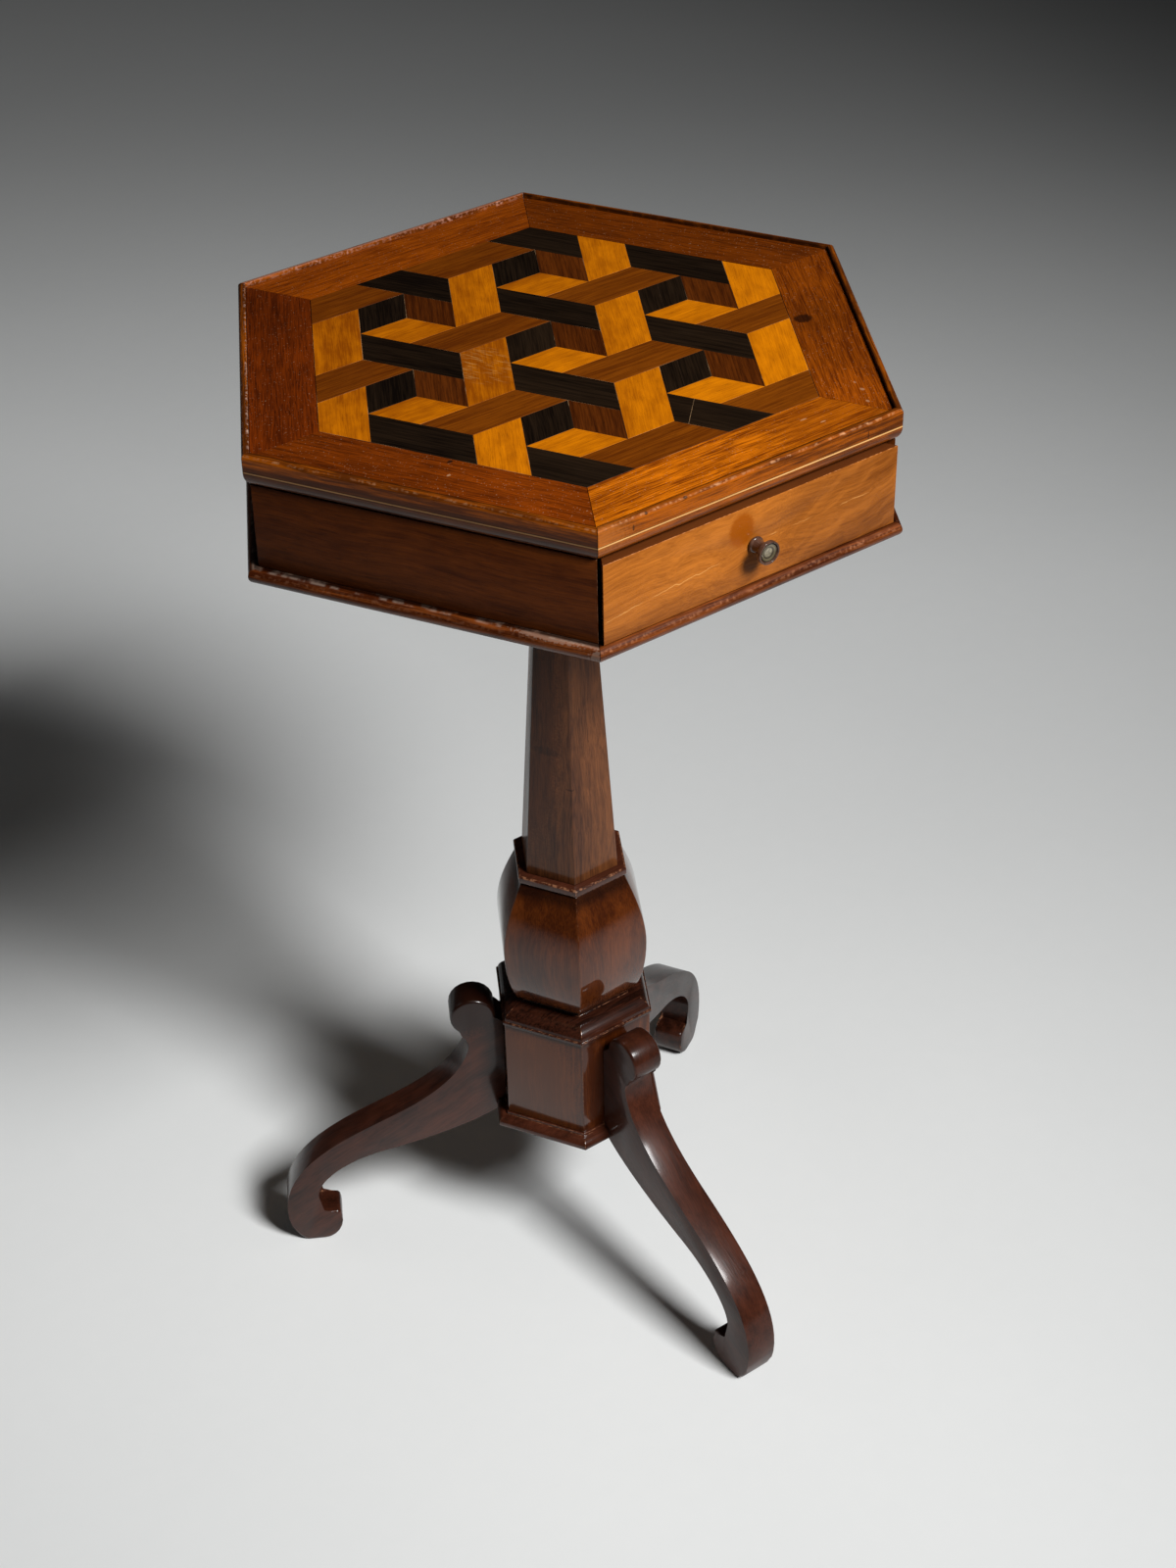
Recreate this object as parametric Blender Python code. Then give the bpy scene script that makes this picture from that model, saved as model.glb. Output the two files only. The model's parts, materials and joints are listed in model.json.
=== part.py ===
"""Hexagonal tripod side table with an interlaced-cube parquetry top and one frieze drawer.

Every piece is modelled round the column's axis. The axis stands a little behind the origin, which is the
middle of the footprint on the floor. The drawer faces -Y, and +Z is up. Lengths are in metres.
"""
import math

import bmesh
import bpy
from mathutils import Matrix, Vector

# The hexagon that every plan follows
SIDES = 6
STEP = math.radians(360 / SIDES)
HALF_TAN = math.tan(STEP / 2)
HALF_COS = math.cos(STEP / 2)
FRONT_ANGLE = math.radians(-90)
FACE_NAMES = ("front", "front_right", "back_right", "back", "back_left", "front_left")
LEG_FACES = ("front", "back_right", "back_left")
TURNED_SIDES = 24
ARC_STEPS = 8
CURVE_STEPS = 16

# Fits
GLUE_GAP = 0.0003
MITRE_GAP = 0.00035
RUN_GAP = 0.0005
TENON_FIT = 0.0003
WELD = 0.000002

# Heights of the pieces that stand on each other, from the floor up
PLINTH_CLEARANCE = 0.1200
PLINTH_BASE_HEIGHT = 0.0095
PLINTH_HEIGHT = 0.0820
PLINTH_CAP_HEIGHT = 0.0145
BALUSTER_HEIGHT = 0.1020
COLLAR_HEIGHT = 0.0060
SHAFT_HEIGHT = 0.2880
BEARER_HEIGHT = 0.0120
BOX_FLOOR_HEIGHT = 0.0092
FRIEZE_HEIGHT = 0.0537
TOP_EDGE_HEIGHT = 0.0200

# Half widths across flats of the hexagons
TOP_APOTHEM = 0.1868
FRIEZE_SETBACK = 0.0033
FRIEZE_APOTHEM = TOP_APOTHEM - FRIEZE_SETBACK
BASE_OVERHANG = 0.0065
BASE_APOTHEM = FRIEZE_APOTHEM + BASE_OVERHANG
BEARER_APOTHEM = 0.0420
SHAFT_TOP_APOTHEM = 0.0144
SHAFT_FOOT_APOTHEM = 0.0308
COLLAR_APOTHEM = 0.0364
BALUSTER_TOP_APOTHEM = 0.0350
BALUSTER_BELLY_APOTHEM = 0.0489
BALUSTER_FOOT_APOTHEM = 0.0346
PLINTH_CAP_TOP_APOTHEM = 0.0362
PLINTH_CAP_APOTHEM = 0.0519
PLINTH_APOTHEM = 0.0507
PLINTH_BASE_APOTHEM = 0.0580

# Table top
LIP_WIDTH = 0.0045
LIP_RISE = 0.0025
LIP_ROUND = 0.0028
VENEER = 0.0016
BOARD_INSET = 0.0085
EDGE_TUCK = 0.0056
EDGE_NOSE_HEIGHT = 0.0082
STRING_HEIGHT = 0.0012
STRING_DEPTH = 0.0012
STRING_FIT = 0.0002

# Parquetry: a triangular lattice of tile edges, with the field a whole count of edges in radius
BORDER_WIDTH = 0.0394
FIELD_EDGES = 5
TILE_EDGE = (TOP_APOTHEM - LIP_WIDTH - BORDER_WIDTH) / (FIELD_EDGES * HALF_COS)
CELL_EDGES = 3
TILE_JOINT = 0.0003
TILE_JOINT_DEPTH = 0.0003

# Frieze box
PANEL_THICKNESS = 0.0120
BASE_MOULDING_DEPTH = 0.0085
GLUE_BLOCK_LEG = 0.0180

# Drawer, sized along the pull direction, sideways and up
DRAWER_FRONT_THICKNESS = 0.0140
DRAWER_FRONT_PROUD = 0.0035
DRAWER_FRONT_LIFT = 0.0004
DRAWER_FRONT_HEADROOM = 0.0022
DRAWER_END_GAP = 0.0030
DRAWER_SIDE_THICKNESS = 0.0070
DRAWER_SIDE_HEIGHT = 0.0430
DRAWER_SIDE_ROOM = 0.0149
DRAWER_HALF_WIDTH = FRIEZE_APOTHEM * HALF_TAN - DRAWER_SIDE_ROOM
DRAWER_REAR_ROOM = 0.0615
DRAWER_REAR = FRIEZE_APOTHEM - PANEL_THICKNESS - DRAWER_REAR_ROOM
DRAWER_BACK_THICKNESS = 0.0070
DRAWER_BACK_DROP = 0.0030
DRAWER_BACK_INSET = 0.0070
DRAWER_BOTTOM_THICKNESS = 0.0050
DRAWER_BOTTOM_LIFT = 0.0050
GROOVE_DEPTH = 0.0030
FRONT_DOVETAIL = (0.0060, 0.0040, 0.0058)
GUIDE_WIDTH = 0.0095
GUIDE_HEIGHT = 0.0160
GUIDE_FRONT_GAP = 0.0230
KICKER_WIDTH = 0.0090
KICKER_GAP = 0.0010
KICKER_FRONT_GAP = 0.0025
STOP_SIZE = (0.0100, 0.0140, 0.0120)
KNOB_REACH = 0.0135
KNOB_RADIUS = 0.0073
KNOB_SHANK_RADIUS = 0.0034
KNOB_FOOT_RADIUS = 0.0050
KNOB_NECK_RADIUS = 0.0038
KNOB_NECK_OUT = 0.0040
KNOB_BEAD_STEPS = 6
KNOB_HEAD_THICKNESS = 0.0040
KNOB_HEAD_BACK = 0.0018
KNOB_FLARE_RADIUS = 0.0051
KNOB_RIM_WIDTH = 0.0012
KNOB_DISH_DEPTH = 0.0008
KNOB_DISC_RADIUS = 0.0054
KNOB_DISC_THICKNESS = 0.0019
KNOB_DISC_HOLLOW = 0.0013

# Column tenons
TOP_TENON_RADIUS = 0.0110
SHAFT_TENON_RADIUS = 0.0130
SHAFT_TENON_LENGTH = 0.0400
BALUSTER_TENON_RADIUS = 0.0150
BALUSTER_TENON_LENGTH = 0.0420
BORE_END_ROOM = 0.0020
BALUSTER_BELLY_HEIGHT = 0.0480
BALUSTER_STEPS = 12
COLLAR_ROUND = 0.0010
PLINTH_CAP_FILLET = 0.0023
PLINTH_BASE_FILLET = 0.0021

# Legs: joints of the side outline are (out from the axis, up), slopes are degrees downwards going out
LEG_REACH = 0.2155
LEG_THICKNESS = 0.0230
LEG_ARRIS = 0.0020
LEG_SEAT_TOP_DROP = 0.0125
LEG_SEAT_FOOT = 0.0015
LEG_SEAT_HANDLE = (0.0210, 0.0165)
VOLUTE_RADIUS = 0.0160
VOLUTE_OUT = 0.0210
VOLUTE_DROP = 0.0080
VOLUTE_TURN = (196, -64)
VOLUTE_STEPS = 16
HIP_OUT = 0.0030
HIP_DROP = 0.0035
HIP_SLOPE = 86
HIP_HANDLE = 0.0300
LEG_KNEE = (0.1340, 0.1175)
KNEE_SLOPE = 27.6
KNEE_HANDLES = (0.0342, 0.0414)
LEG_ARCH = (0.1410, 0.0845)
ARCH_SLOPE = 14.2
ARCH_HANDLES = (0.0340, 0.0310)
ANKLE_WIDTH = 0.0235
ANKLE_HEIGHT = 0.0310
ANKLE_HANDLES = (0.0450, 0.0180)
INSTEP_RISE = 0.0170
INSTEP_HANDLE = 0.0140
THROAT_CUT = 0.0012
SCROLL_WIDTH = 0.0395
TOE_HEIGHT = 0.0270
TOE_MIDDLE = 0.0167
TOE_CROWN = 0.0042
TOE_HANDLES = (0.0097, 0.0083, 0.0032)
SOLE_FLAT = 0.0110
SOLE_SETBACK = 0.0145
SOLE_HANDLES = (0.0070, 0.0075)
LEG_DOVETAIL = (0.0090, 0.0100, 0.0140)
LEG_DOVETAIL_TOP_DROP = 0.0200

# Finishes: colour, roughness and metallic value
MAHOGANY = ((0.165, 0.052, 0.022), 0.34, 0.0)
BORDER_MAHOGANY = ((0.330, 0.115, 0.030), 0.38, 0.0)
EDGE_MAHOGANY = ((0.200, 0.065, 0.025), 0.34, 0.0)
WALNUT = ((0.360, 0.150, 0.045), 0.40, 0.0)
PARQUETRY_WOODS = ((0.400, 0.190, 0.050), 0.40, 0.0)
BOXWOOD = ((0.620, 0.400, 0.180), 0.42, 0.0)
PINE = ((0.520, 0.350, 0.190), 0.62, 0.0)
OAK = ((0.420, 0.280, 0.150), 0.58, 0.0)
ROSEWOOD = ((0.110, 0.055, 0.035), 0.30, 0.0)
PEARL = ((0.620, 0.580, 0.480), 0.22, 0.0)


def stack_levels():
    """Bottom and top height of each storey, with a glue line between one and the next."""
    storeys = (
        ("plinth_base", PLINTH_BASE_HEIGHT), ("plinth", PLINTH_HEIGHT), ("plinth_cap", PLINTH_CAP_HEIGHT),
        ("baluster", BALUSTER_HEIGHT), ("collar", COLLAR_HEIGHT), ("shaft", SHAFT_HEIGHT),
        ("bearer", BEARER_HEIGHT), ("box_floor", BOX_FLOOR_HEIGHT), ("frieze", FRIEZE_HEIGHT),
        ("top", TOP_EDGE_HEIGHT),
    )
    levels = {}
    height = PLINTH_CLEARANCE
    for name, thickness in storeys:
        levels[name] = (height, height + thickness)
        height += thickness + GLUE_GAP
    return levels


LEVELS = stack_levels()


def clear_scene():
    for obj in list(bpy.data.objects):
        bpy.data.objects.remove(obj, do_unlink=True)


def empty(name, location, parent=None, turn=0.0):
    obj = bpy.data.objects.new(name, None)
    obj.location = location
    obj.rotation_euler[2] = turn
    obj.parent = parent
    bpy.context.collection.objects.link(obj)
    return obj


def finish_material(name, finish):
    colour, roughness, metallic = finish
    material = bpy.data.materials.new(name)
    material.use_nodes = True
    shader = material.node_tree.nodes["Principled BSDF"]
    shader.inputs["Base Color"].default_value = (*colour, 1.0)
    shader.inputs["Roughness"].default_value = roughness
    shader.inputs["Metallic"].default_value = metallic
    return material


def add_object(name, bm, finish, parent, turn=0.0):
    """Turns a bmesh into a named object with its own material, under its parent."""
    bmesh.ops.recalc_face_normals(bm, faces=bm.faces)
    mesh = bpy.data.meshes.new(name)
    bm.to_mesh(mesh)
    bm.free()
    obj = bpy.data.objects.new(name, mesh)
    obj.parent = parent
    obj.rotation_euler[2] = turn
    bpy.context.collection.objects.link(obj)
    if finish is None:
        obj.hide_render = True
        obj.display_type = "WIRE"
    else:
        mesh.materials.append(finish_material(name, finish))
    return obj


def smooth_round(obj, angle=40):
    obj.data.shade_smooth()
    obj.data.set_sharp_from_angle(angle=math.radians(angle))


def apply_boolean(obj, guide, operation):
    modifier = obj.modifiers.new(f"{operation.lower()}_{guide.name}", "BOOLEAN")
    modifier.operation = operation
    modifier.solver = "EXACT"
    modifier.object = guide


def box_mesh(low, high):
    bm = bmesh.new()
    low, high = Vector(low), Vector(high)
    bmesh.ops.create_cube(bm, size=1.0)
    bmesh.ops.transform(bm, matrix=Matrix.Diagonal((*(high - low), 1.0)), verts=bm.verts)
    bmesh.ops.translate(bm, vec=(low + high) / 2, verts=bm.verts)
    return bm


def prism_mesh(outline, start, end, place):
    """Sweeps a flat outline from start to end; place turns (outline point, sweep) into a position."""
    bm = bmesh.new()
    first = [bm.verts.new(place(point, start)) for point in outline]
    last = [bm.verts.new(place(point, end)) for point in outline]
    bm.faces.new(first)
    bm.faces.new(reversed(last))
    count = len(outline)
    for i in range(count):
        j = (i + 1) % count
        bm.faces.new((first[j], first[i], last[i], last[j]))
    return bm


def plan_prism(outline, low, high):
    return prism_mesh(outline, low, high, lambda point, z: (point[0], point[1], z))


def hexagon_corners(apothem):
    radius = apothem / HALF_COS
    return [(radius * math.cos(STEP * i), radius * math.sin(STEP * i)) for i in range(SIDES)]


def hexagon_loft(profile):
    """Lofts a six-sided solid through (apothem, height) stations, from the bottom up."""
    bm = bmesh.new()
    rings = []
    for apothem, height in profile:
        rings.append([bm.verts.new((x, y, height)) for x, y in hexagon_corners(apothem)])
    for lower, upper in zip(rings, rings[1:]):
        for i in range(SIDES):
            j = (i + 1) % SIDES
            bm.faces.new((lower[i], lower[j], upper[j], upper[i]))
    bm.faces.new(reversed(rings[0]))
    bm.faces.new(rings[-1])
    return bm


def cylinder_mesh(radius, low, high):
    bm = bmesh.new()
    middle = Matrix.Translation((0.0, 0.0, (low + high) / 2))
    bmesh.ops.create_cone(
        bm, cap_ends=True, segments=TURNED_SIDES, radius1=radius, radius2=radius, depth=high - low,
        matrix=middle)
    return bm


def mitred_strip(section, end_gap):
    """A strip along one side of the hexagon, from a (distance out, height) section; +X points out."""
    def place(point, side):
        return (point[0], side * (point[0] * HALF_TAN - end_gap), point[1])
    return prism_mesh(section, -1.0, 1.0, place)


def quarter_arc(centre, radii, start):
    """Points of a quarter ellipse, turning anticlockwise from start degrees."""
    points = []
    for i in range(ARC_STEPS + 1):
        angle = math.radians(start + 90 * i / ARC_STEPS)
        points.append((centre[0] + radii[0] * math.cos(angle), centre[1] + radii[1] * math.sin(angle)))
    return points


def bezier(start, handle1, handle2, end, steps=CURVE_STEPS):
    """Points of a cubic curve after its start, up to and with its end."""
    points = []
    for i in range(1, steps + 1):
        t = i / steps
        weights = ((1 - t) ** 3, 3 * t * (1 - t) ** 2, 3 * t * t * (1 - t), t ** 3)
        corners = (start, handle1, handle2, end)
        points.append(tuple(sum(w * p[k] for w, p in zip(weights, corners)) for k in (0, 1)))
    return points


def rectangle(near, far, low, high):
    return [(near, low), (far, low), (far, high), (near, high)]


def face_angle(name):
    return FRONT_ANGLE + STEP * FACE_NAMES.index(name)


def mitre_end():
    """How far a mitred end stands back along its strip."""
    return MITRE_GAP / 2 / HALF_COS


# The table top


def board_apothem():
    return TOP_APOTHEM - BOARD_INSET


def veneer_level():
    """Heights between which the parquetry and the border lie."""
    top = LEVELS["top"][1] - LIP_RISE
    return top - VENEER, top


def string_level():
    low = LEVELS["top"][0] + EDGE_NOSE_HEIGHT
    return low, low + STRING_HEIGHT


def make_top_board(axis):
    low = LEVELS["top"][0]
    high = veneer_level()[0] - GLUE_GAP
    apothem = board_apothem() - GLUE_GAP
    add_object("top_board", hexagon_loft([(apothem, low), (apothem, high)]), PINE, axis)


def top_edge_section():
    """Lip, rounded arris, string groove and tucked-in lower nose of the moulded edge."""
    low, high = LEVELS["top"]
    ledge = veneer_level()[0] - GLUE_GAP
    string_low, string_high = string_level()
    nose_centre = (TOP_APOTHEM - EDGE_TUCK, string_low - STRING_FIT)
    lip_centre = (TOP_APOTHEM - LIP_ROUND, high - LIP_ROUND)
    groove = TOP_APOTHEM - STRING_DEPTH - STRING_FIT
    section = [(board_apothem(), low)]
    section += quarter_arc(nose_centre, (EDGE_TUCK, nose_centre[1] - low), -90)
    section += [(groove, string_low - STRING_FIT), (groove, string_high + STRING_FIT)]
    section += [(TOP_APOTHEM, string_high + STRING_FIT)]
    section += quarter_arc(lip_centre, (LIP_ROUND, LIP_ROUND), 0)
    section += [(TOP_APOTHEM - LIP_WIDTH, high), (TOP_APOTHEM - LIP_WIDTH, ledge), (board_apothem(), ledge)]
    return section


def make_top_edge(axis):
    for name in FACE_NAMES:
        bm = mitred_strip(top_edge_section(), mitre_end())
        edge = add_object(f"top_edge_{name}", bm, EDGE_MAHOGANY, axis, face_angle(name))
        smooth_round(edge)
        low, high = string_level()
        string = rectangle(TOP_APOTHEM - STRING_DEPTH, TOP_APOTHEM, low, high)
        add_object(f"string_{name}", mitred_strip(string, mitre_end()), BOXWOOD, axis, face_angle(name))


def field_apothem():
    return TILE_EDGE * FIELD_EDGES * HALF_COS


def make_border(axis):
    low, high = veneer_level()
    outer = TOP_APOTHEM - LIP_WIDTH - GLUE_GAP
    section = rectangle(field_apothem() + GLUE_GAP, outer, low, high)
    for name in FACE_NAMES:
        bm = mitred_strip(section, mitre_end())
        add_object(f"border_{name}", bm, BORDER_MAHOGANY, axis, face_angle(name))


def cell_tiles():
    """Tiles of one cell in lattice steps: a hexagon of three rhombi and the three bands that cross by it."""
    rhombi = ([(0, 0), (0, 1), (-1, 1), (-1, 0)], [(0, 0), (1, -1), (1, 0), (0, 1)],
              [(0, 0), (-1, 0), (0, -1), (1, -1)])
    bands = ([(-2, 1), (-2, -1), (-1, -1), (-1, 1)], [(-1, 3), (-1, 2), (1, 0), (1, 1)],
             [(-3, 2), (-2, 1), (0, 1), (-1, 2)])
    return rhombi + bands


def clip_to_field(tile):
    """Cuts a tile off at the six sides of the field. All corners stay on the lattice."""
    for weights in ((1, 0), (0, 1), (1, 1)):
        for sign in (1, -1):
            def room(point):
                return FIELD_EDGES - sign * (weights[0] * point[0] + weights[1] * point[1])
            kept = []
            for here, there in zip(tile, tile[1:] + tile[:1]):
                if room(here) >= 0:
                    kept.append(here)
                if room(here) * room(there) < 0:
                    share = room(here) / (room(here) - room(there))
                    kept.append(tuple(round(a + share * (b - a)) for a, b in zip(here, there)))
            tile = kept
    return tile


def lattice_edge(start, end):
    """Lattice points from start up to, but without, end."""
    count = max(abs(end[0] - start[0]), abs(end[1] - start[1]))
    return [tuple(a + (b - a) * i // count for a, b in zip(start, end)) for i in range(count)]


def parquetry_tiles():
    """Every tile of the field as a ring of lattice points, with a point at each step along its edges."""
    tiles = []
    reach = range(-2 * FIELD_EDGES, 2 * FIELD_EDGES + 1)
    cells = [(i, j) for i in reach for j in reach if i % CELL_EDGES == 0 and j % CELL_EDGES == 0]
    for cell in cells:
        for tile in cell_tiles():
            corners = clip_to_field([(cell[0] + i, cell[1] + j) for i, j in tile])
            ring = []
            for start, end in zip(corners, corners[1:] + corners[:1]):
                if start != end:
                    ring += lattice_edge(start, end)
            flat = any(len({f(p) for p in ring}) < 2 for f in (lambda p: p[0], lambda p: p[1], sum))
            if len(ring) >= 3 and not flat:
                tiles.append(ring)
    return tiles


def make_parquetry(axis):
    """The laid tiles as one panel, with a fine joint sunk along every tile edge."""
    low, high = veneer_level()
    bm = bmesh.new()
    corners = {}

    def corner(point):
        if point not in corners:
            x = TILE_EDGE * (point[0] + point[1] / 2)
            y = TILE_EDGE * point[1] * HALF_COS
            corners[point] = bm.verts.new((x, y, high - TILE_JOINT_DEPTH))
        return corners[point]

    tiles = [bm.faces.new([corner(point) for point in ring]) for ring in parquetry_tiles()]
    bmesh.ops.recalc_face_normals(bm, faces=tiles)
    rim = [edge for edge in bm.edges if edge.is_boundary]
    skirt = bmesh.ops.extrude_edge_only(bm, edges=rim)["geom"]
    skirt_verts = [item for item in skirt if isinstance(item, bmesh.types.BMVert)]
    bmesh.ops.translate(bm, vec=(0.0, 0.0, low - high + TILE_JOINT_DEPTH), verts=skirt_verts)
    bmesh.ops.contextual_create(bm, geom=[item for item in skirt if isinstance(item, bmesh.types.BMEdge)])
    bmesh.ops.inset_individual(bm, faces=tiles, thickness=TILE_JOINT / 2, depth=TILE_JOINT_DEPTH)
    add_object("parquetry_panel", bm, PARQUETRY_WOODS, axis)


# The frieze box


def make_frieze(axis):
    low, high = LEVELS["frieze"]
    section = rectangle(FRIEZE_APOTHEM - PANEL_THICKNESS, FRIEZE_APOTHEM, low, high)
    for name in FACE_NAMES[1:]:
        bm = mitred_strip(section, mitre_end())
        add_object(f"frieze_panel_{name}", bm, MAHOGANY, axis, face_angle(name))


def make_base_moulding(axis):
    low, high = LEVELS["box_floor"]
    half = (high - low) / 2
    centre = (BASE_APOTHEM - half, low + half)
    section = [(BASE_APOTHEM - BASE_MOULDING_DEPTH, low)]
    section += quarter_arc(centre, (half, half), -90)[:-1]
    section += quarter_arc(centre, (half, half), 0)
    section += [(BASE_APOTHEM - BASE_MOULDING_DEPTH, high)]
    for name in FACE_NAMES:
        bm = mitred_strip(section, mitre_end())
        smooth_round(add_object(f"base_moulding_{name}", bm, EDGE_MAHOGANY, axis, face_angle(name)))


def make_box_floor(axis):
    low, high = LEVELS["box_floor"]
    apothem = BASE_APOTHEM - BASE_MOULDING_DEPTH - GLUE_GAP
    floor = add_object("box_floor", hexagon_loft([(apothem, low), (apothem, high)]), PINE, axis)
    hole = cylinder_mesh(TOP_TENON_RADIUS + TENON_FIT, low - BORE_END_ROOM, high + BORE_END_ROOM)
    apply_boolean(floor, add_object("box_floor_bore", hole, None, axis), "DIFFERENCE")


def make_glue_blocks(axis):
    """Corner blocks inside the box, at the four corners away from the drawer front."""
    low = LEVELS["box_floor"][1] + GLUE_GAP
    high = LEVELS["frieze"][1]
    tip = (FRIEZE_APOTHEM - PANEL_THICKNESS - GLUE_GAP) / HALF_COS
    back = tip - GLUE_BLOCK_LEG * math.cos(STEP)
    half = GLUE_BLOCK_LEG * math.sin(STEP)
    outline = [(tip, 0.0), (back, half), (back, -half)]
    for name in FACE_NAMES[2:]:
        corner = face_angle(name) - STEP / 2
        add_object(f"glue_block_{name}", plan_prism(outline, low, high), PINE, axis, corner)


# The drawer, with +X as the pull direction


def drawer_floor():
    """Height of the drawer sides' lower edges, which run on the box floor."""
    return LEVELS["box_floor"][1] + GLUE_GAP


def drawer_face():
    """Distance out of the drawer's front face, which stands proud of the frieze panels."""
    return FRIEZE_APOTHEM + DRAWER_FRONT_PROUD


def drawer_front_back():
    return drawer_face() - DRAWER_FRONT_THICKNESS


def drawer_front_level():
    low = drawer_floor() + DRAWER_FRONT_LIFT
    high = LEVELS["frieze"][1] - DRAWER_FRONT_HEADROOM
    return low, high


def drawer_inner_width():
    return DRAWER_HALF_WIDTH - DRAWER_SIDE_THICKNESS


def front_dovetail_outline(fit):
    """Plan of the dovetail that holds a drawer side in the front, in (pull, sideways) from the joint."""
    depth, root, tip = FRONT_DOVETAIL
    return [(-fit, -root / 2 - fit), (depth + fit, -tip / 2 - fit), (depth + fit, tip / 2 + fit),
            (-fit, root / 2 + fit)]


def drawer_side_middle():
    return DRAWER_HALF_WIDTH - DRAWER_SIDE_THICKNESS / 2


def drawer_bottom_box(fit):
    low = drawer_floor() + DRAWER_BOTTOM_LIFT
    half = drawer_inner_width() + GROOVE_DEPTH - GLUE_GAP + fit
    front = drawer_front_back() + GROOVE_DEPTH - GLUE_GAP + fit
    return (-DRAWER_REAR - fit, -half, low - fit), (front, half, low + DRAWER_BOTTOM_THICKNESS + fit)


def make_drawer_front(slide, bottom_guide):
    low, high = drawer_front_level()
    section = rectangle(drawer_front_back(), drawer_face(), low, high)
    front = add_object("drawer_front", mitred_strip(section, DRAWER_END_GAP), WALNUT, slide)
    apply_boolean(front, bottom_guide, "DIFFERENCE")
    socket_top = drawer_floor() + DRAWER_SIDE_HEIGHT + GLUE_GAP
    for side, hand in ((-1, "left"), (1, "right")):
        outline = [(drawer_front_back() + x, side * drawer_side_middle() + y)
                   for x, y in front_dovetail_outline(GLUE_GAP)]
        socket = add_object(
            f"drawer_socket_{hand}", plan_prism(outline, low - BORE_END_ROOM, socket_top), None, slide)
        apply_boolean(front, socket, "DIFFERENCE")
    bore = cylinder_mesh(KNOB_SHANK_RADIUS + TENON_FIT, drawer_front_back() - BORE_END_ROOM,
                         drawer_face() + BORE_END_ROOM)
    lay_along_pull(bore)
    apply_boolean(front, add_object("knob_bore", bore, None, slide), "DIFFERENCE")


def knob_height():
    low, high = drawer_front_level()
    return (low + high) / 2


def lay_along_pull(bm):
    """Turns a piece made round the Z axis to lie round the knob's axis."""
    turn = Matrix.Rotation(math.radians(90), 4, "Y")
    bmesh.ops.transform(bm, matrix=Matrix.Translation((0, 0, knob_height())) @ turn, verts=bm.verts)


def make_drawer_sides(slide, bottom_guide):
    """Sides with a dovetail into the front and a housing for the back, in plan."""
    low = drawer_floor()
    joint = drawer_front_back() - GLUE_GAP
    rear = -DRAWER_REAR
    back = rear + DRAWER_BACK_INSET
    housing = (back - GLUE_GAP, back + DRAWER_BACK_THICKNESS + GLUE_GAP)
    inner = drawer_inner_width()
    tail = [(drawer_front_back() + x, drawer_side_middle() + y) for x, y in front_dovetail_outline(0.0)]
    tail[0] = (joint, tail[0][1])
    tail[-1] = (joint, tail[-1][1])
    outline = [(rear, inner), (housing[0], inner), (housing[0], inner + GROOVE_DEPTH),
               (housing[1], inner + GROOVE_DEPTH), (housing[1], inner), (joint, inner)]
    outline += tail + [(joint, DRAWER_HALF_WIDTH), (rear, DRAWER_HALF_WIDTH)]
    for side, hand in ((-1, "left"), (1, "right")):
        bm = plan_prism([(x, side * y) for x, y in outline], low, low + DRAWER_SIDE_HEIGHT)
        apply_boolean(add_object(f"drawer_side_{hand}", bm, OAK, slide), bottom_guide, "DIFFERENCE")


def make_drawer_back(slide):
    low = drawer_bottom_box(GLUE_GAP)[1][2]
    high = drawer_floor() + DRAWER_SIDE_HEIGHT - DRAWER_BACK_DROP
    near = -DRAWER_REAR + DRAWER_BACK_INSET
    half = drawer_inner_width() + GROOVE_DEPTH - GLUE_GAP
    bm = box_mesh((near, -half, low), (near + DRAWER_BACK_THICKNESS, half, high))
    add_object("drawer_back", bm, OAK, slide)


def turned_mesh(profile):
    """Turns a closed (radius, height) profile that starts and ends on the Z axis."""
    bm = bmesh.new()
    rings = []
    for radius, height in profile:
        if radius == 0.0:
            rings.append([bm.verts.new((0.0, 0.0, height))])
            continue
        angles = [math.tau * i / TURNED_SIDES for i in range(TURNED_SIDES)]
        rings.append([bm.verts.new((radius * math.cos(a), radius * math.sin(a), height)) for a in angles])
    for lower, upper in zip(rings, rings[1:]):
        for i in range(TURNED_SIDES):
            j = (i + 1) % TURNED_SIDES
            near, far = len(lower), len(upper)
            face = [lower[i % near], lower[j % near], upper[j % far], upper[i % far]]
            bm.faces.new(list(dict.fromkeys(face)))
    return bm


def knob_bead(root):
    """Half round bead at the knob's foot, without its two ends."""
    bead = KNOB_FOOT_RADIUS - KNOB_NECK_RADIUS
    angles = [math.pi * i / KNOB_BEAD_STEPS for i in range(1, KNOB_BEAD_STEPS)]
    return [(KNOB_NECK_RADIUS + bead * math.sin(a), root + bead * (1 - math.cos(a))) for a in angles]


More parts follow.
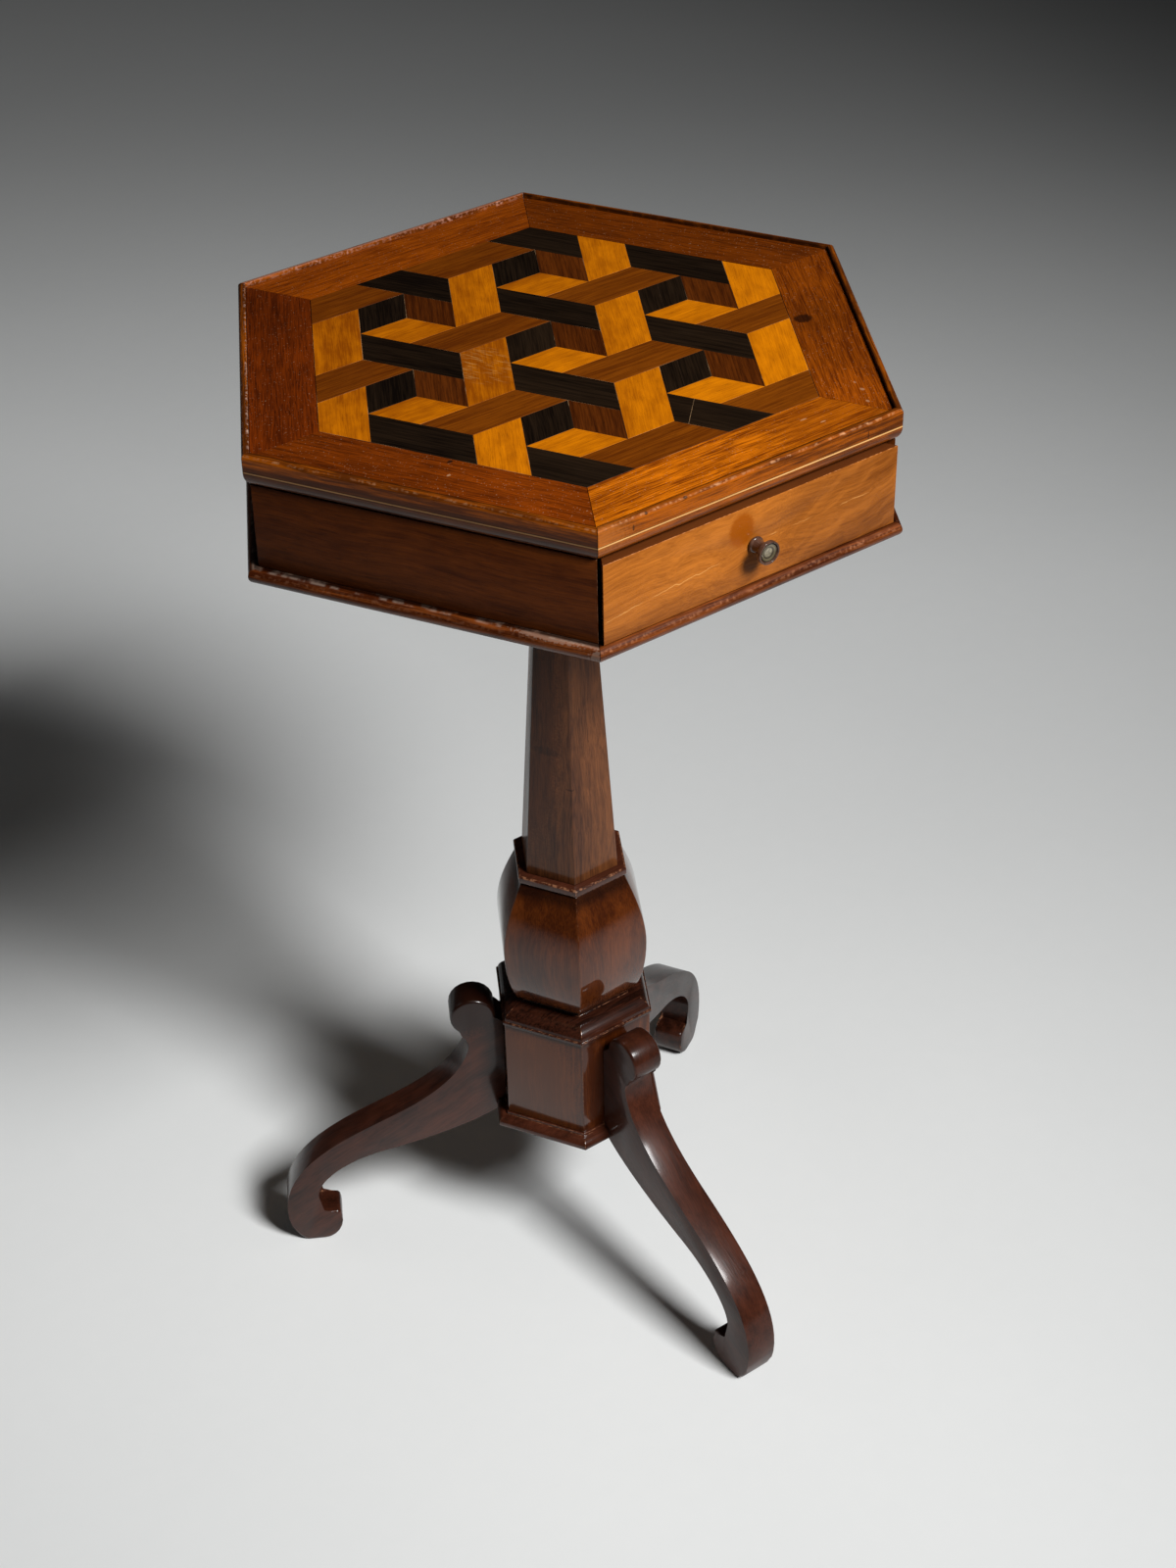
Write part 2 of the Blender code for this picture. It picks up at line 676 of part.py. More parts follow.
def knob_profile():
    """Half section of the knob: shank, foot bead, neck, thin spreading head and dished face."""
    root = drawer_face() + GLUE_GAP
    tip = drawer_face() + KNOB_REACH
    head = tip - KNOB_HEAD_THICKNESS
    neck = (KNOB_NECK_RADIUS, root + KNOB_NECK_OUT)
    brim = (KNOB_RADIUS, head + KNOB_HEAD_BACK)
    rim = (KNOB_RADIUS - KNOB_RIM_WIDTH / 2, tip)
    pocket = KNOB_DISC_RADIUS + GLUE_GAP
    shank_end = drawer_front_back() + GLUE_GAP
    profile = [(0.0, shank_end), (KNOB_SHANK_RADIUS, shank_end), (KNOB_SHANK_RADIUS, root)]
    profile += knob_bead(root) + [neck]
    profile += bezier(neck, (KNOB_NECK_RADIUS, head), (KNOB_FLARE_RADIUS, head), brim, 5)
    profile += bezier(brim, (KNOB_RADIUS, tip), (KNOB_RADIUS, tip), rim, 3)
    profile += [(KNOB_RADIUS - KNOB_RIM_WIDTH, tip - KNOB_RIM_WIDTH / 4), (pocket, tip - KNOB_DISH_DEPTH)]
    profile += [(pocket, knob_pocket_floor()), (0.0, knob_pocket_floor())]
    return profile


def knob_disc_profile():
    """Half section of the disc in the knob's face, hollowed like a saucer."""
    low = knob_pocket_floor() + GLUE_GAP
    rim = low + KNOB_DISC_THICKNESS
    shares = (1.0, 0.8, 0.5, 0.0)
    hollow = [(KNOB_DISC_RADIUS * s, rim - KNOB_DISC_HOLLOW * (1 - s ** 2)) for s in shares]
    return [(0.0, low), (KNOB_DISC_RADIUS, low)] + hollow


def knob_pocket_floor():
    return drawer_face() + KNOB_REACH - KNOB_DISH_DEPTH - KNOB_DISC_THICKNESS


def make_knob(slide):
    """Turned knob with a hollowed disc let into its face."""
    bm = turned_mesh(knob_profile())
    lay_along_pull(bm)
    smooth_round(add_object("knob", bm, ROSEWOOD, slide))
    disc = turned_mesh(knob_disc_profile())
    lay_along_pull(disc)
    smooth_round(add_object("knob_disc", disc, PEARL, slide))


def make_drawer(slide):
    guide = add_object("drawer_bottom_groove", box_mesh(*drawer_bottom_box(GLUE_GAP)), None, slide)
    make_drawer_front(slide, guide)
    make_drawer_sides(slide, guide)
    make_drawer_back(slide)
    add_object("drawer_bottom", box_mesh(*drawer_bottom_box(0.0)), PINE, slide)
    make_knob(slide)


def make_drawer_supports(axis):
    """Guides beside the drawer, kickers above its sides and stops behind it."""
    floor = LEVELS["box_floor"][1] + GLUE_GAP
    ceiling = LEVELS["frieze"][1]
    guide_front = drawer_front_back() - GUIDE_FRONT_GAP
    kicker_front = drawer_front_back() - KICKER_FRONT_GAP
    kicker_low = drawer_floor() + DRAWER_SIDE_HEIGHT + KICKER_GAP
    stop_length, stop_width, stop_height = STOP_SIZE
    middle = drawer_side_middle()
    pieces = (
        ("drawer_guide", (-DRAWER_REAR, DRAWER_HALF_WIDTH + RUN_GAP, floor),
         (guide_front, DRAWER_HALF_WIDTH + RUN_GAP + GUIDE_WIDTH, floor + GUIDE_HEIGHT), OAK),
        ("drawer_kicker", (-DRAWER_REAR, middle - KICKER_WIDTH / 2, kicker_low),
         (kicker_front, middle + KICKER_WIDTH / 2, ceiling), PINE),
        ("drawer_stop", (-DRAWER_REAR - GLUE_GAP - stop_length, middle - stop_width / 2, floor),
         (-DRAWER_REAR - GLUE_GAP, middle + stop_width / 2, floor + stop_height), OAK),
    )
    for name, low, high, finish in pieces:
        for side, hand in ((-1, "left"), (1, "right")):
            bm = box_mesh(low, high)
            bmesh.ops.transform(bm, matrix=Matrix.Diagonal((1.0, side, 1.0, 1.0)), verts=bm.verts)
            add_object(f"{name}_{hand}", bm, finish, axis, FRONT_ANGLE)


# The column


def bore_guide(name, radius, low, high, axis):
    return add_object(name, cylinder_mesh(radius + TENON_FIT, low, high), None, axis)


def make_bearer(axis):
    low, high = LEVELS["bearer"]
    block = hexagon_loft([(BEARER_APOTHEM, low), (BEARER_APOTHEM, high)])
    bearer = add_object("column_bearer", block, PINE, axis)
    guide = bore_guide("bearer_bore", TOP_TENON_RADIUS, low - BORE_END_ROOM, high + BORE_END_ROOM, axis)
    apply_boolean(bearer, guide, "DIFFERENCE")


def make_shaft(axis):
    low, high = LEVELS["shaft"]
    shaft = add_object(
        "column_shaft", hexagon_loft([(SHAFT_FOOT_APOTHEM, low), (SHAFT_TOP_APOTHEM, high)]), MAHOGANY, axis)
    tenons = (("shaft_top_tenon", TOP_TENON_RADIUS, high - SHAFT_TENON_LENGTH, LEVELS["box_floor"][1]),
              ("shaft_foot_tenon", SHAFT_TENON_RADIUS, shaft_tenon_end(), low + SHAFT_TENON_LENGTH))
    for name, radius, start, end in tenons:
        tenon = add_object(name, cylinder_mesh(radius, start, end), None, axis)
        apply_boolean(shaft, tenon, "UNION")


def shaft_tenon_end():
    return LEVELS["shaft"][0] - SHAFT_TENON_LENGTH


def make_collar(axis):
    low, high = LEVELS["collar"]
    inner = COLLAR_APOTHEM - COLLAR_ROUND
    profile = [(inner, low), (COLLAR_APOTHEM, low + COLLAR_ROUND), (COLLAR_APOTHEM, high - COLLAR_ROUND),
               (inner, high)]
    collar = add_object("collar", hexagon_loft(profile), MAHOGANY, axis)
    guide = bore_guide("collar_bore", SHAFT_TENON_RADIUS, low - BORE_END_ROOM, high + BORE_END_ROOM, axis)
    apply_boolean(collar, guide, "DIFFERENCE")


def baluster_profile():
    """Full elliptical lower half and a longer cosine shoulder above the belly."""
    low, high = LEVELS["baluster"]
    belly = low + BALUSTER_BELLY_HEIGHT
    profile = []
    for i in range(BALUSTER_STEPS):
        angle = math.radians(90 * i / BALUSTER_STEPS)
        swell = (BALUSTER_BELLY_APOTHEM - BALUSTER_FOOT_APOTHEM) * math.sin(angle)
        profile.append((BALUSTER_FOOT_APOTHEM + swell, belly - (belly - low) * math.cos(angle)))
    for i in range(BALUSTER_STEPS + 1):
        share = i / BALUSTER_STEPS
        swell = (BALUSTER_BELLY_APOTHEM - BALUSTER_TOP_APOTHEM) * math.cos(math.radians(90 * share))
        profile.append((BALUSTER_TOP_APOTHEM + swell, belly + (high - belly) * share))
    return profile


def make_baluster(axis):
    low, high = LEVELS["baluster"]
    baluster = add_object("baluster", hexagon_loft(baluster_profile()), MAHOGANY, axis)
    smooth_round(baluster, 30)
    bore = bore_guide("baluster_bore", SHAFT_TENON_RADIUS, shaft_tenon_end() - BORE_END_ROOM,
                      high + BORE_END_ROOM, axis)
    apply_boolean(baluster, bore, "DIFFERENCE")
    tenon = cylinder_mesh(BALUSTER_TENON_RADIUS, baluster_tenon_end(), low + BALUSTER_TENON_RADIUS)
    apply_boolean(baluster, add_object("baluster_tenon", tenon, None, axis), "UNION")


def baluster_tenon_end():
    return LEVELS["baluster"][0] - BALUSTER_TENON_LENGTH


# The plinth


def plinth_cap_profile():
    """Low fillet, large ovolo and a thin set-back fillet under the baluster."""
    low, high = LEVELS["plinth_cap"]
    ovolo_low = low + PLINTH_CAP_FILLET
    ovolo_high = high - PLINTH_CAP_FILLET
    step = PLINTH_CAP_FILLET / 2
    centre = (PLINTH_CAP_TOP_APOTHEM + step, ovolo_low)
    radii = (PLINTH_CAP_APOTHEM - step - centre[0], ovolo_high - ovolo_low)
    profile = [(PLINTH_CAP_APOTHEM, low), (PLINTH_CAP_APOTHEM, ovolo_low)]
    profile += quarter_arc(centre, radii, 0)
    profile += [(PLINTH_CAP_TOP_APOTHEM, ovolo_high), (PLINTH_CAP_TOP_APOTHEM, high)]
    return profile


def make_plinth_cap(axis):
    low, high = LEVELS["plinth_cap"]
    cap = add_object("plinth_cap", hexagon_loft(plinth_cap_profile()), MAHOGANY, axis)
    smooth_round(cap, 30)
    guide = bore_guide("cap_bore", BALUSTER_TENON_RADIUS, low - BORE_END_ROOM, high + BORE_END_ROOM, axis)
    apply_boolean(cap, guide, "DIFFERENCE")


def leg_dovetail_outline(fit):
    """Plan of a leg's dovetail, in (out, sideways) from the axis, with fit added all round."""
    depth, root, tip = LEG_DOVETAIL
    inner = PLINTH_APOTHEM - depth
    return [(PLINTH_APOTHEM + 2 * GLUE_GAP + fit, root / 2 + fit), (inner - fit, tip / 2 + fit),
            (inner - fit, -tip / 2 - fit), (PLINTH_APOTHEM + 2 * GLUE_GAP + fit, -root / 2 - fit)]


def leg_dovetail_top():
    return LEVELS["plinth"][1] - LEG_DOVETAIL_TOP_DROP


def make_plinth_block(axis):
    low, high = LEVELS["plinth"]
    block = add_object(
        "plinth_block", hexagon_loft([(PLINTH_APOTHEM, low), (PLINTH_APOTHEM, high)]), MAHOGANY, axis)
    bore = bore_guide("plinth_bore", BALUSTER_TENON_RADIUS, baluster_tenon_end() - BORE_END_ROOM,
                      high + BORE_END_ROOM, axis)
    apply_boolean(block, bore, "DIFFERENCE")
    for name in LEG_FACES:
        bm = plan_prism(leg_dovetail_outline(GLUE_GAP), low - BORE_END_ROOM, leg_dovetail_top() + GLUE_GAP)
        socket = add_object(f"leg_socket_{name}", bm, None, axis, face_angle(name))
        apply_boolean(block, socket, "DIFFERENCE")


def plinth_base_profile():
    """Fillet at the floor side, quarter round and a thin bead under the block."""
    low, high = LEVELS["plinth_base"]
    fillet = PLINTH_BASE_FILLET
    arris = fillet / 3
    centre = (PLINTH_APOTHEM + fillet / 2, low + fillet)
    radii = (PLINTH_BASE_APOTHEM - centre[0], high - low - 2 * fillet)
    profile = [(PLINTH_BASE_APOTHEM - arris, low), (PLINTH_BASE_APOTHEM, low + arris)]
    profile += quarter_arc(centre, radii, 0)
    profile += [(centre[0], high)]
    return profile


def make_plinth_base(axis):
    """Base moulding under the block, notched where the legs pass."""
    low, high = LEVELS["plinth_base"]
    base = add_object("plinth_base", hexagon_loft(plinth_base_profile()), MAHOGANY, axis)
    smooth_round(base, 30)
    half = LEG_THICKNESS / 2 + GLUE_GAP
    for name in LEG_FACES:
        bm = box_mesh((PLINTH_APOTHEM, -half, low - BORE_END_ROOM),
                      (PLINTH_BASE_APOTHEM + BORE_END_ROOM, half, high + BORE_END_ROOM))
        notch = add_object(f"base_notch_{name}", bm, None, axis, face_angle(name))
        apply_boolean(base, notch, "DIFFERENCE")


# The legs


def sloped(joint, slope, distance):
    """The point a distance out along a falling slope from a joint; a negative distance goes back up it."""
    angle = math.radians(slope)
    return joint[0] + distance * math.cos(angle), joint[1] - distance * math.sin(angle)


def leg_roll(centre):
    """The rolled top as an arc, from the plinth's side over the top and round to its underside."""
    start, end = VOLUTE_TURN
    points = []
    for i in range(VOLUTE_STEPS + 1):
        angle = math.radians(start + (end - start) * i / VOLUTE_STEPS)
        out, up = VOLUTE_RADIUS * math.cos(angle), VOLUTE_RADIUS * math.sin(angle)
        points.append((centre[0] + out, centre[1] + up))
    return points


def leg_back(hip, ankle):
    """The upper side, from under the roll over the knee down to the ankle."""
    knee_in = sloped(LEG_KNEE, KNEE_SLOPE, -KNEE_HANDLES[0])
    knee_out = sloped(LEG_KNEE, KNEE_SLOPE, KNEE_HANDLES[1])
    points = [hip] + bezier(hip, sloped(hip, HIP_SLOPE, HIP_HANDLE), knee_in, LEG_KNEE)
    return points + bezier(LEG_KNEE, knee_out, (ankle[0], ankle[1] + ANKLE_HANDLES[0]), ankle)


def leg_foot(ankle):
    """The scrolled foot, from the ankle round the sole and the toe to the throat behind it."""
    heel = (LEG_REACH - SOLE_SETBACK, 0.0)
    ball = (heel[0] - SOLE_FLAT, 0.0)
    toe = (LEG_REACH - SCROLL_WIDTH, TOE_MIDDLE)
    crown = (toe[0] + TOE_CROWN, TOE_HEIGHT)
    throat = (LEG_REACH - ANKLE_WIDTH - THROAT_CUT, TOE_HEIGHT)
    below, above, before = TOE_HANDLES
    points = bezier(ankle, (ankle[0], ankle[1] - ANKLE_HANDLES[1]), (heel[0] + SOLE_HANDLES[0], 0.0), heel, 6)
    points.append(ball)
    points += bezier(ball, (ball[0] - SOLE_HANDLES[1], 0.0), (toe[0], toe[1] - below), toe, 5)
    points += bezier(toe, (toe[0], toe[1] + above), (crown[0] - before, crown[1]), crown, 4)
    return points + [throat]


def leg_underside(instep, seat):
    """The lower side, from the instep up over the arch and back to the seat on the plinth."""
    arch_out = sloped(LEG_ARCH, ARCH_SLOPE, ARCH_HANDLES[1])
    arch_in = sloped(LEG_ARCH, ARCH_SLOPE, -ARCH_HANDLES[0])
    seat_handle = (seat[0] + LEG_SEAT_HANDLE[0], seat[1] - LEG_SEAT_HANDLE[1])
    points = [instep] + bezier(instep, (instep[0], instep[1] + INSTEP_HANDLE), arch_out, LEG_ARCH)
    return points + bezier(LEG_ARCH, arch_in, seat_handle, seat)[:-1]


def leg_outline():
    """Side view of a leg as (out, up): seat on the plinth, rolled top, S curve and scrolled foot."""
    face = PLINTH_APOTHEM + GLUE_GAP
    seat = (face, LEVELS["plinth_base"][0] + LEG_SEAT_FOOT)
    seat_top = (face, LEVELS["plinth"][1] - LEG_SEAT_TOP_DROP)
    roll = (face + VOLUTE_OUT, LEVELS["plinth"][1] - VOLUTE_DROP)
    hip = (roll[0] + HIP_OUT, roll[1] - VOLUTE_RADIUS - HIP_DROP)
    ankle = (LEG_REACH, ANKLE_HEIGHT)
    instep = (LEG_REACH - ANKLE_WIDTH, TOE_HEIGHT + INSTEP_RISE)
    points = [seat, seat_top] + leg_roll(roll) + leg_back(hip, ankle)
    return points + leg_foot(ankle) + leg_underside(instep, seat)


def leg_mesh():
    face = PLINTH_APOTHEM + GLUE_GAP
    bm = prism_mesh(leg_outline(), -LEG_THICKNESS / 2, LEG_THICKNESS / 2, lambda p, y: (p[0], y, p[1]))
    rims = []
    for edge in bm.edges:
        start, end = (vert.co for vert in edge.verts)
        along_rim = abs(start.y - end.y) < GLUE_GAP
        on_seat = max(start.x, end.x) < face + GLUE_GAP
        if along_rim and not on_seat:
            rims.append(edge)
    bmesh.ops.bevel(
        bm, geom=rims, offset=LEG_ARRIS, segments=3, profile=0.5, affect="EDGES", clamp_overlap=True)
    bmesh.ops.dissolve_degenerate(bm, dist=WELD, edges=bm.edges)
    bmesh.ops.remove_doubles(bm, verts=bm.verts, dist=WELD)
    return bm


def make_legs(axis):
    """Three legs, each with a dovetail that slides up into the plinth block."""
    low = LEVELS["plinth"][0] + GLUE_GAP
    for name in LEG_FACES:
        leg = add_object(f"leg_{name}", leg_mesh(), MAHOGANY, axis, face_angle(name))
        smooth_round(leg)
        dovetail = plan_prism(leg_dovetail_outline(0.0), low, leg_dovetail_top())
        guide = add_object(f"leg_dovetail_{name}", dovetail, None, axis, face_angle(name))
        apply_boolean(leg, guide, "UNION")


def main():
    clear_scene()
    axis = empty("column_axis", (0.0, (LEG_REACH - BASE_APOTHEM) / 2, 0.0))
    slide = empty("drawer_slide", (0.0, 0.0, 0.0), axis, FRONT_ANGLE)
    make_top_board(axis)
    make_top_edge(axis)
    make_border(axis)
    make_parquetry(axis)
    make_frieze(axis)
    make_base_moulding(axis)
    make_box_floor(axis)
    make_glue_blocks(axis)
    make_drawer(slide)
    make_drawer_supports(axis)
    make_bearer(axis)
    make_shaft(axis)
    make_collar(axis)
    make_baluster(axis)
    make_plinth_cap(axis)
    make_plinth_block(axis)
    make_plinth_base(axis)
    make_legs(axis)


main()
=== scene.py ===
"""Looks of the hexagonal side table: its woods and their wear, the laid tiles, the light and the camera.

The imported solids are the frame. Pieces that show get finer copies with eased and worn arrises, and the rest
keep their solids. Lengths are metres in the part's own frame, with the drawer facing -Y.
"""
import json
import math
import random
from collections import namedtuple

import bmesh
import bpy
from mathutils import Matrix, Vector, noise

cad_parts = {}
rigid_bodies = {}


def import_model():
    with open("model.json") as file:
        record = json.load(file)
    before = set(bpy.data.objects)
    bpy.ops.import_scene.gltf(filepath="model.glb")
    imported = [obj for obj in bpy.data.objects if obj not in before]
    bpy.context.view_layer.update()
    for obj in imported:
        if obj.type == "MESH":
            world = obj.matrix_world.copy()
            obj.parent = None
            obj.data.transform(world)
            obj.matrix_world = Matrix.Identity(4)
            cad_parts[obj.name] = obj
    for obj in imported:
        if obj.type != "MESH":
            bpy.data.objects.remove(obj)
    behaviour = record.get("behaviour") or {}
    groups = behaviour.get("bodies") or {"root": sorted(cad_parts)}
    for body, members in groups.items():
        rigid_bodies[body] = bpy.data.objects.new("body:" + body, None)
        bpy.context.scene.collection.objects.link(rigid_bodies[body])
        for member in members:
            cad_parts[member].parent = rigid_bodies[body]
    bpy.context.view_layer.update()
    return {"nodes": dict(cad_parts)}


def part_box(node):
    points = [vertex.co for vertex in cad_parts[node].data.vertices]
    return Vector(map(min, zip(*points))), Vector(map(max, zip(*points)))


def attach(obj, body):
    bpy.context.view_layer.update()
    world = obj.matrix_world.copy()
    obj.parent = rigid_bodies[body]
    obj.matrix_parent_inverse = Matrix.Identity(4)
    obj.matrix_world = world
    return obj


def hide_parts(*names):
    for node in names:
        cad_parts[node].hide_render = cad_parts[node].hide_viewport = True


for leftover in list(bpy.data.objects):
    bpy.data.objects.remove(leftover)
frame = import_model()

# The hexagon round the column's axis
AXIS_Y = 0.01275
STEP = math.radians(60)
HALF_TAN = math.tan(STEP / 2)
HALF_COS = math.cos(STEP / 2)
QUARTER = math.radians(90)
FRONT_ANGLE = -QUARTER
FACES = ("front", "front_right", "back_right", "back", "back_left", "front_left")
LEGS = ("front", "back_right", "back_left")

# Moulded edge of the top
TOP_APOTHEM = 0.1868
LIP_WIDTH = 0.0045
LIP_ROUND = 0.0028
LIP_EASE = 0.0004
EDGE_TUCK = 0.0056
EDGE_INSET = 0.0085
EDGE_NOSE_HEIGHT = 0.0082
EDGE_LEDGE_DROP = 0.0044
STRING_ROOM = 0.0016
STRING_GROOVE = 0.0014
STRING_FIT = 0.0002
MITRE = 0.0002
SURFACE = 0.7171

# Base moulding
BASE_APOTHEM = 0.18998
BASE_DEPTH = 0.0085

# Tiles, on a triangular lattice of tile edges
TILE_EDGE = 0.0330
FIELD_EDGES = 5
CELL_EDGES = 3
TILE_GAP = 0.00010
TILE_EASE = 0.00008
TILE_DEPTH = 0.0012
TILE_LIFT = 0.00003
SMALLEST_TILE = 0.01
BED_DROP = 0.00014

# Drawer front and knob
DRAWER_FACE = 0.1870
DRAWER_FRONT_BACK = 0.1730
KNOB_SIDES = 64
KNOB_REACH = 0.0135
KNOB_RADIUS = 0.0073
KNOB_SHANK_RADIUS = 0.0034
KNOB_FOOT_RADIUS = 0.0050
KNOB_NECK_RADIUS = 0.0038
KNOB_NECK_OUT = 0.0040
KNOB_HEAD = 0.0040
KNOB_HEAD_BACK = 0.0018
KNOB_FLARE_RADIUS = 0.0051
KNOB_RIM = 0.0012
KNOB_RIM_EASE = 0.0003
KNOB_DISH = 0.0008
KNOB_DISC_RADIUS = 0.0054
KNOB_DISC_THICKNESS = 0.0019
KNOB_DISC_HOLLOW = 0.0013
DISC_RING = 0.62
DISC_RING_WIDTH = 0.05
DISC_RING_HEIGHT = 0.00012
GLUE_GAP = 0.0003

# How finely the copies are made
ARC_STEPS = 10
BEAD_STEPS = 12
DISC_STEPS = 20
FLARE_STEPS = 10
BRIM_STEPS = 6
RIM_STEPS = 4
ARRIS_STEPS = 3
STATION_LENGTH = 0.0030
MERGE = 0.000002
FLAT_ANGLE = math.radians(0.2)
ARRIS_LIMIT = 0.0008

# Dents of a worn strip: depth, noise in cycles per metre, a finer noise on top, and the wear that shows there
DENT_DEPTH = 0.0006
DENTS_ACROSS = 90
DENTS_ALONG = 160
DENT_SEED_STEP = 17
FINE_DENT = 0.45
FINE_DENT_SCALE = 3.1
BARE_WEAR = 0.45
DENT_WEAR = 1.5

# How strongly each part of a wood's figure shows, and how a finish shines
Figure = namedtuple("Figure", "ribbon streak fine mottle pores swirl")
Polish = namedtuple("Polish", "roughness specular coat coat_roughness bump skin")


def face_angle(name):
    return FRONT_ANGLE + STEP * FACES.index(name)


# Shader nodes


class Nodes:
    """Builds one material's nodes, with a short call for each kind used here."""

    def __init__(self, name):
        self.material = bpy.data.materials.new(name)
        self.material.use_nodes = True
        self.tree = self.material.node_tree
        self.shader = self.tree.nodes["Principled BSDF"]

    def put(self, node, inputs):
        for key, value in inputs.items():
            if isinstance(value, bpy.types.NodeSocket):
                self.tree.links.new(value, node.inputs[key])
            else:
                node.inputs[key].default_value = value

    def shade(self, inputs):
        self.put(self.shader, inputs)

    def add(self, kind, settings, inputs):
        node = self.tree.nodes.new("ShaderNode" + kind)
        for key, value in settings.items():
            setattr(node, key, value)
        self.put(node, inputs)
        return node

    def math(self, operation, *values):
        return self.add("Math", {"operation": operation}, dict(enumerate(values))).outputs[0]

    def clamp(self, value, low, high):
        return self.math("MINIMUM", self.math("MAXIMUM", value, low), high)

    def mix(self, share, first, second, blend="MIX"):
        settings = {"data_type": "RGBA", "blend_type": blend}
        return self.add("Mix", settings, {0: share, 6: opaque(first), 7: opaque(second)}).outputs[2]

    def stain(self, colour, share, strength, tint, blend="MIX"):
        """Lays a tint over a colour, at a strength, where the share is."""
        return self.mix(self.math("MULTIPLY", share, strength), colour, tint, blend)

    def noise(self, vector, scale, detail=3.0, distortion=0.0):
        inputs = {"Vector": vector, "Scale": scale, "Detail": detail, "Distortion": distortion}
        return self.add("TexNoise", {}, inputs).outputs[0]

    def band(self, value, low, high):
        """0 below low, 1 above high, with a smooth step between them."""
        inputs = {"Value": value, "From Min": low, "From Max": high}
        return self.add("MapRange", {"interpolation_type": "SMOOTHSTEP"}, inputs).outputs[0]

    def fade(self, value, low, high):
        """The reverse of a band."""
        return self.math("SUBTRACT", 1.0, self.band(value, low, high))

    def patches(self, vector, scale, detail, low, high):
        """Noise cut into patches between two of its values."""
        return self.band(self.noise(vector, scale, detail), low, high)

    def object_space(self):
        return self.add("TexCoord", {}, {}).outputs["Object"]

    def tile_space(self):
        return self.add("UVMap", {"uv_map": "grain"}, {}).outputs[0]

    def mapped(self, rotation, shift=(0.0, 0.0, 0.0)):
        """Object space, turned by angles about its axes and shifted."""
        inputs = {"Vector": self.object_space(), "Location": shift, "Rotation": rotation}
        return self.add("Mapping", {}, inputs).outputs[0]

    def vector_math(self, operation, *values):
        return self.add("VectorMath", {"operation": operation}, dict(enumerate(values))).outputs[0]

    def measure(self, operation, *values):
        return self.add("VectorMath", {"operation": operation}, dict(enumerate(values))).outputs["Value"]

    def stretched(self, vector, factors):
        return self.vector_math("MULTIPLY", vector, factors)

    def swirled(self, vector, reach, scale=17.0):
        """Bends a space by slow noise, so that the grain in it wanders."""
        inputs = {"Vector": vector, "Scale": scale, "Detail": 2.0}
        cloud = self.add("TexNoise", {}, inputs).outputs["Color"]
        centred = self.vector_math("SUBTRACT", cloud, (0.5, 0.5, 0.5))
        return self.vector_math("MULTIPLY_ADD", centred, (reach, reach, reach), vector)

    def distance(self, place, size):
        """Distance from a place, in sizes along each axis."""
        offset = self.vector_math("SUBTRACT", self.object_space(), place)
        return self.measure("LENGTH", self.vector_math("DIVIDE", offset, size))

    def attribute(self, name):
        return self.add("Attribute", {"attribute_name": name}, {}).outputs["Fac"]

    def axes(self, vector):
        return self.add("SeparateXYZ", {}, {0: vector}).outputs


def opaque(colour):
    if isinstance(colour, bpy.types.NodeSocket):
        return colour
    return (*colour[:3], 1.0)


LEG_SLOPE = math.radians(36)


def along(angle):
    """Turns the direction at that angle in plan on to the grain axis."""
    return Matrix.Rotation(-angle, 3, "Z")


def along_side(name):
    """Turns the length of that side on to the grain axis."""
    return along(face_angle(name) + QUARTER)


def upright():
    """Turns the height on to the grain axis."""
    return Matrix.Rotation(QUARTER, 3, "Y")


def down_leg(angle):
    """Turns the line that falls outwards along a leg on to the grain axis."""
    return Matrix.Rotation(-LEG_SLOPE, 3, "Y") @ Matrix.Rotation(-angle, 3, "Z")


# Woods


# Grain in cycles per metre: along the grain first, then across it
RIBBON = (6.0, 48.0, 48.0)
STREAK = (10.0, 400.0, 400.0)
FINE = (50.0, 1150.0, 1150.0)
MOTTLE = (60.0, 140.0, 140.0)
PORES = (120.0, 2100.0, 2100.0)
SKIN_WAVE = (9.0, 75.0, 75.0)
# Noise cut into patches: cycles per unit of its space, detail, and the values that it is cut between
GRAIN_LINES = (1.0, 3.0, 0.30, 0.70)
OPEN_PORES = (1.0, 2.0, 0.60, 0.72)
WEAR_PATCHES = (420.0, 4.0, 0.46, 0.62)
GRIME_PATCHES = (110.0, 3.0, 0.15, 0.50)
# Clouds in the polish, and how much rougher they and the worn places are
POLISH_CLOUDS = 45.0
CLOUD_ROUGHNESS = 0.2
WORN_ROUGHNESS = 0.2
GRAIN_RELIEF = 0.0002
SKIN_RELIEF = 0.0006
PORE_SHADE = 0.3
GRIME_SHADE = 0.12
WORN = (0.42, 0.22, 0.12)
# Where each kind of piece starts in the grain, and how far apart two starts lie
SEEDS = {"edge": 3, "string": 9, "border": 21, "base": 31, "frieze": 41, "drawer": 51, "knob": 55,
         "stand": 61, "leg": 81, "carcase": 90}
SEED_STEP = (0.37, 0.23, 0.11)


def grain(n, space, stretch):
    """Noise stretched along the grain, spread to run evenly between -0.5 and 0.5."""
    return n.math("SUBTRACT", n.patches(n.stretched(space, stretch), *GRAIN_LINES), 0.5)


def figure_share(n, space, figure, tone):
    """How far the colour goes from the dark to the light tone, from the grain at each scale."""
    share = tone
    for stretch, amount in zip((RIBBON, STREAK, FINE, MOTTLE), figure):
        if amount:
            share = n.math("MULTIPLY_ADD", grain(n, space, stretch), amount, share)
    return n.clamp(share, 0.0, 1.0)


def shaded(colour, share):
    return [share * c for c in colour]


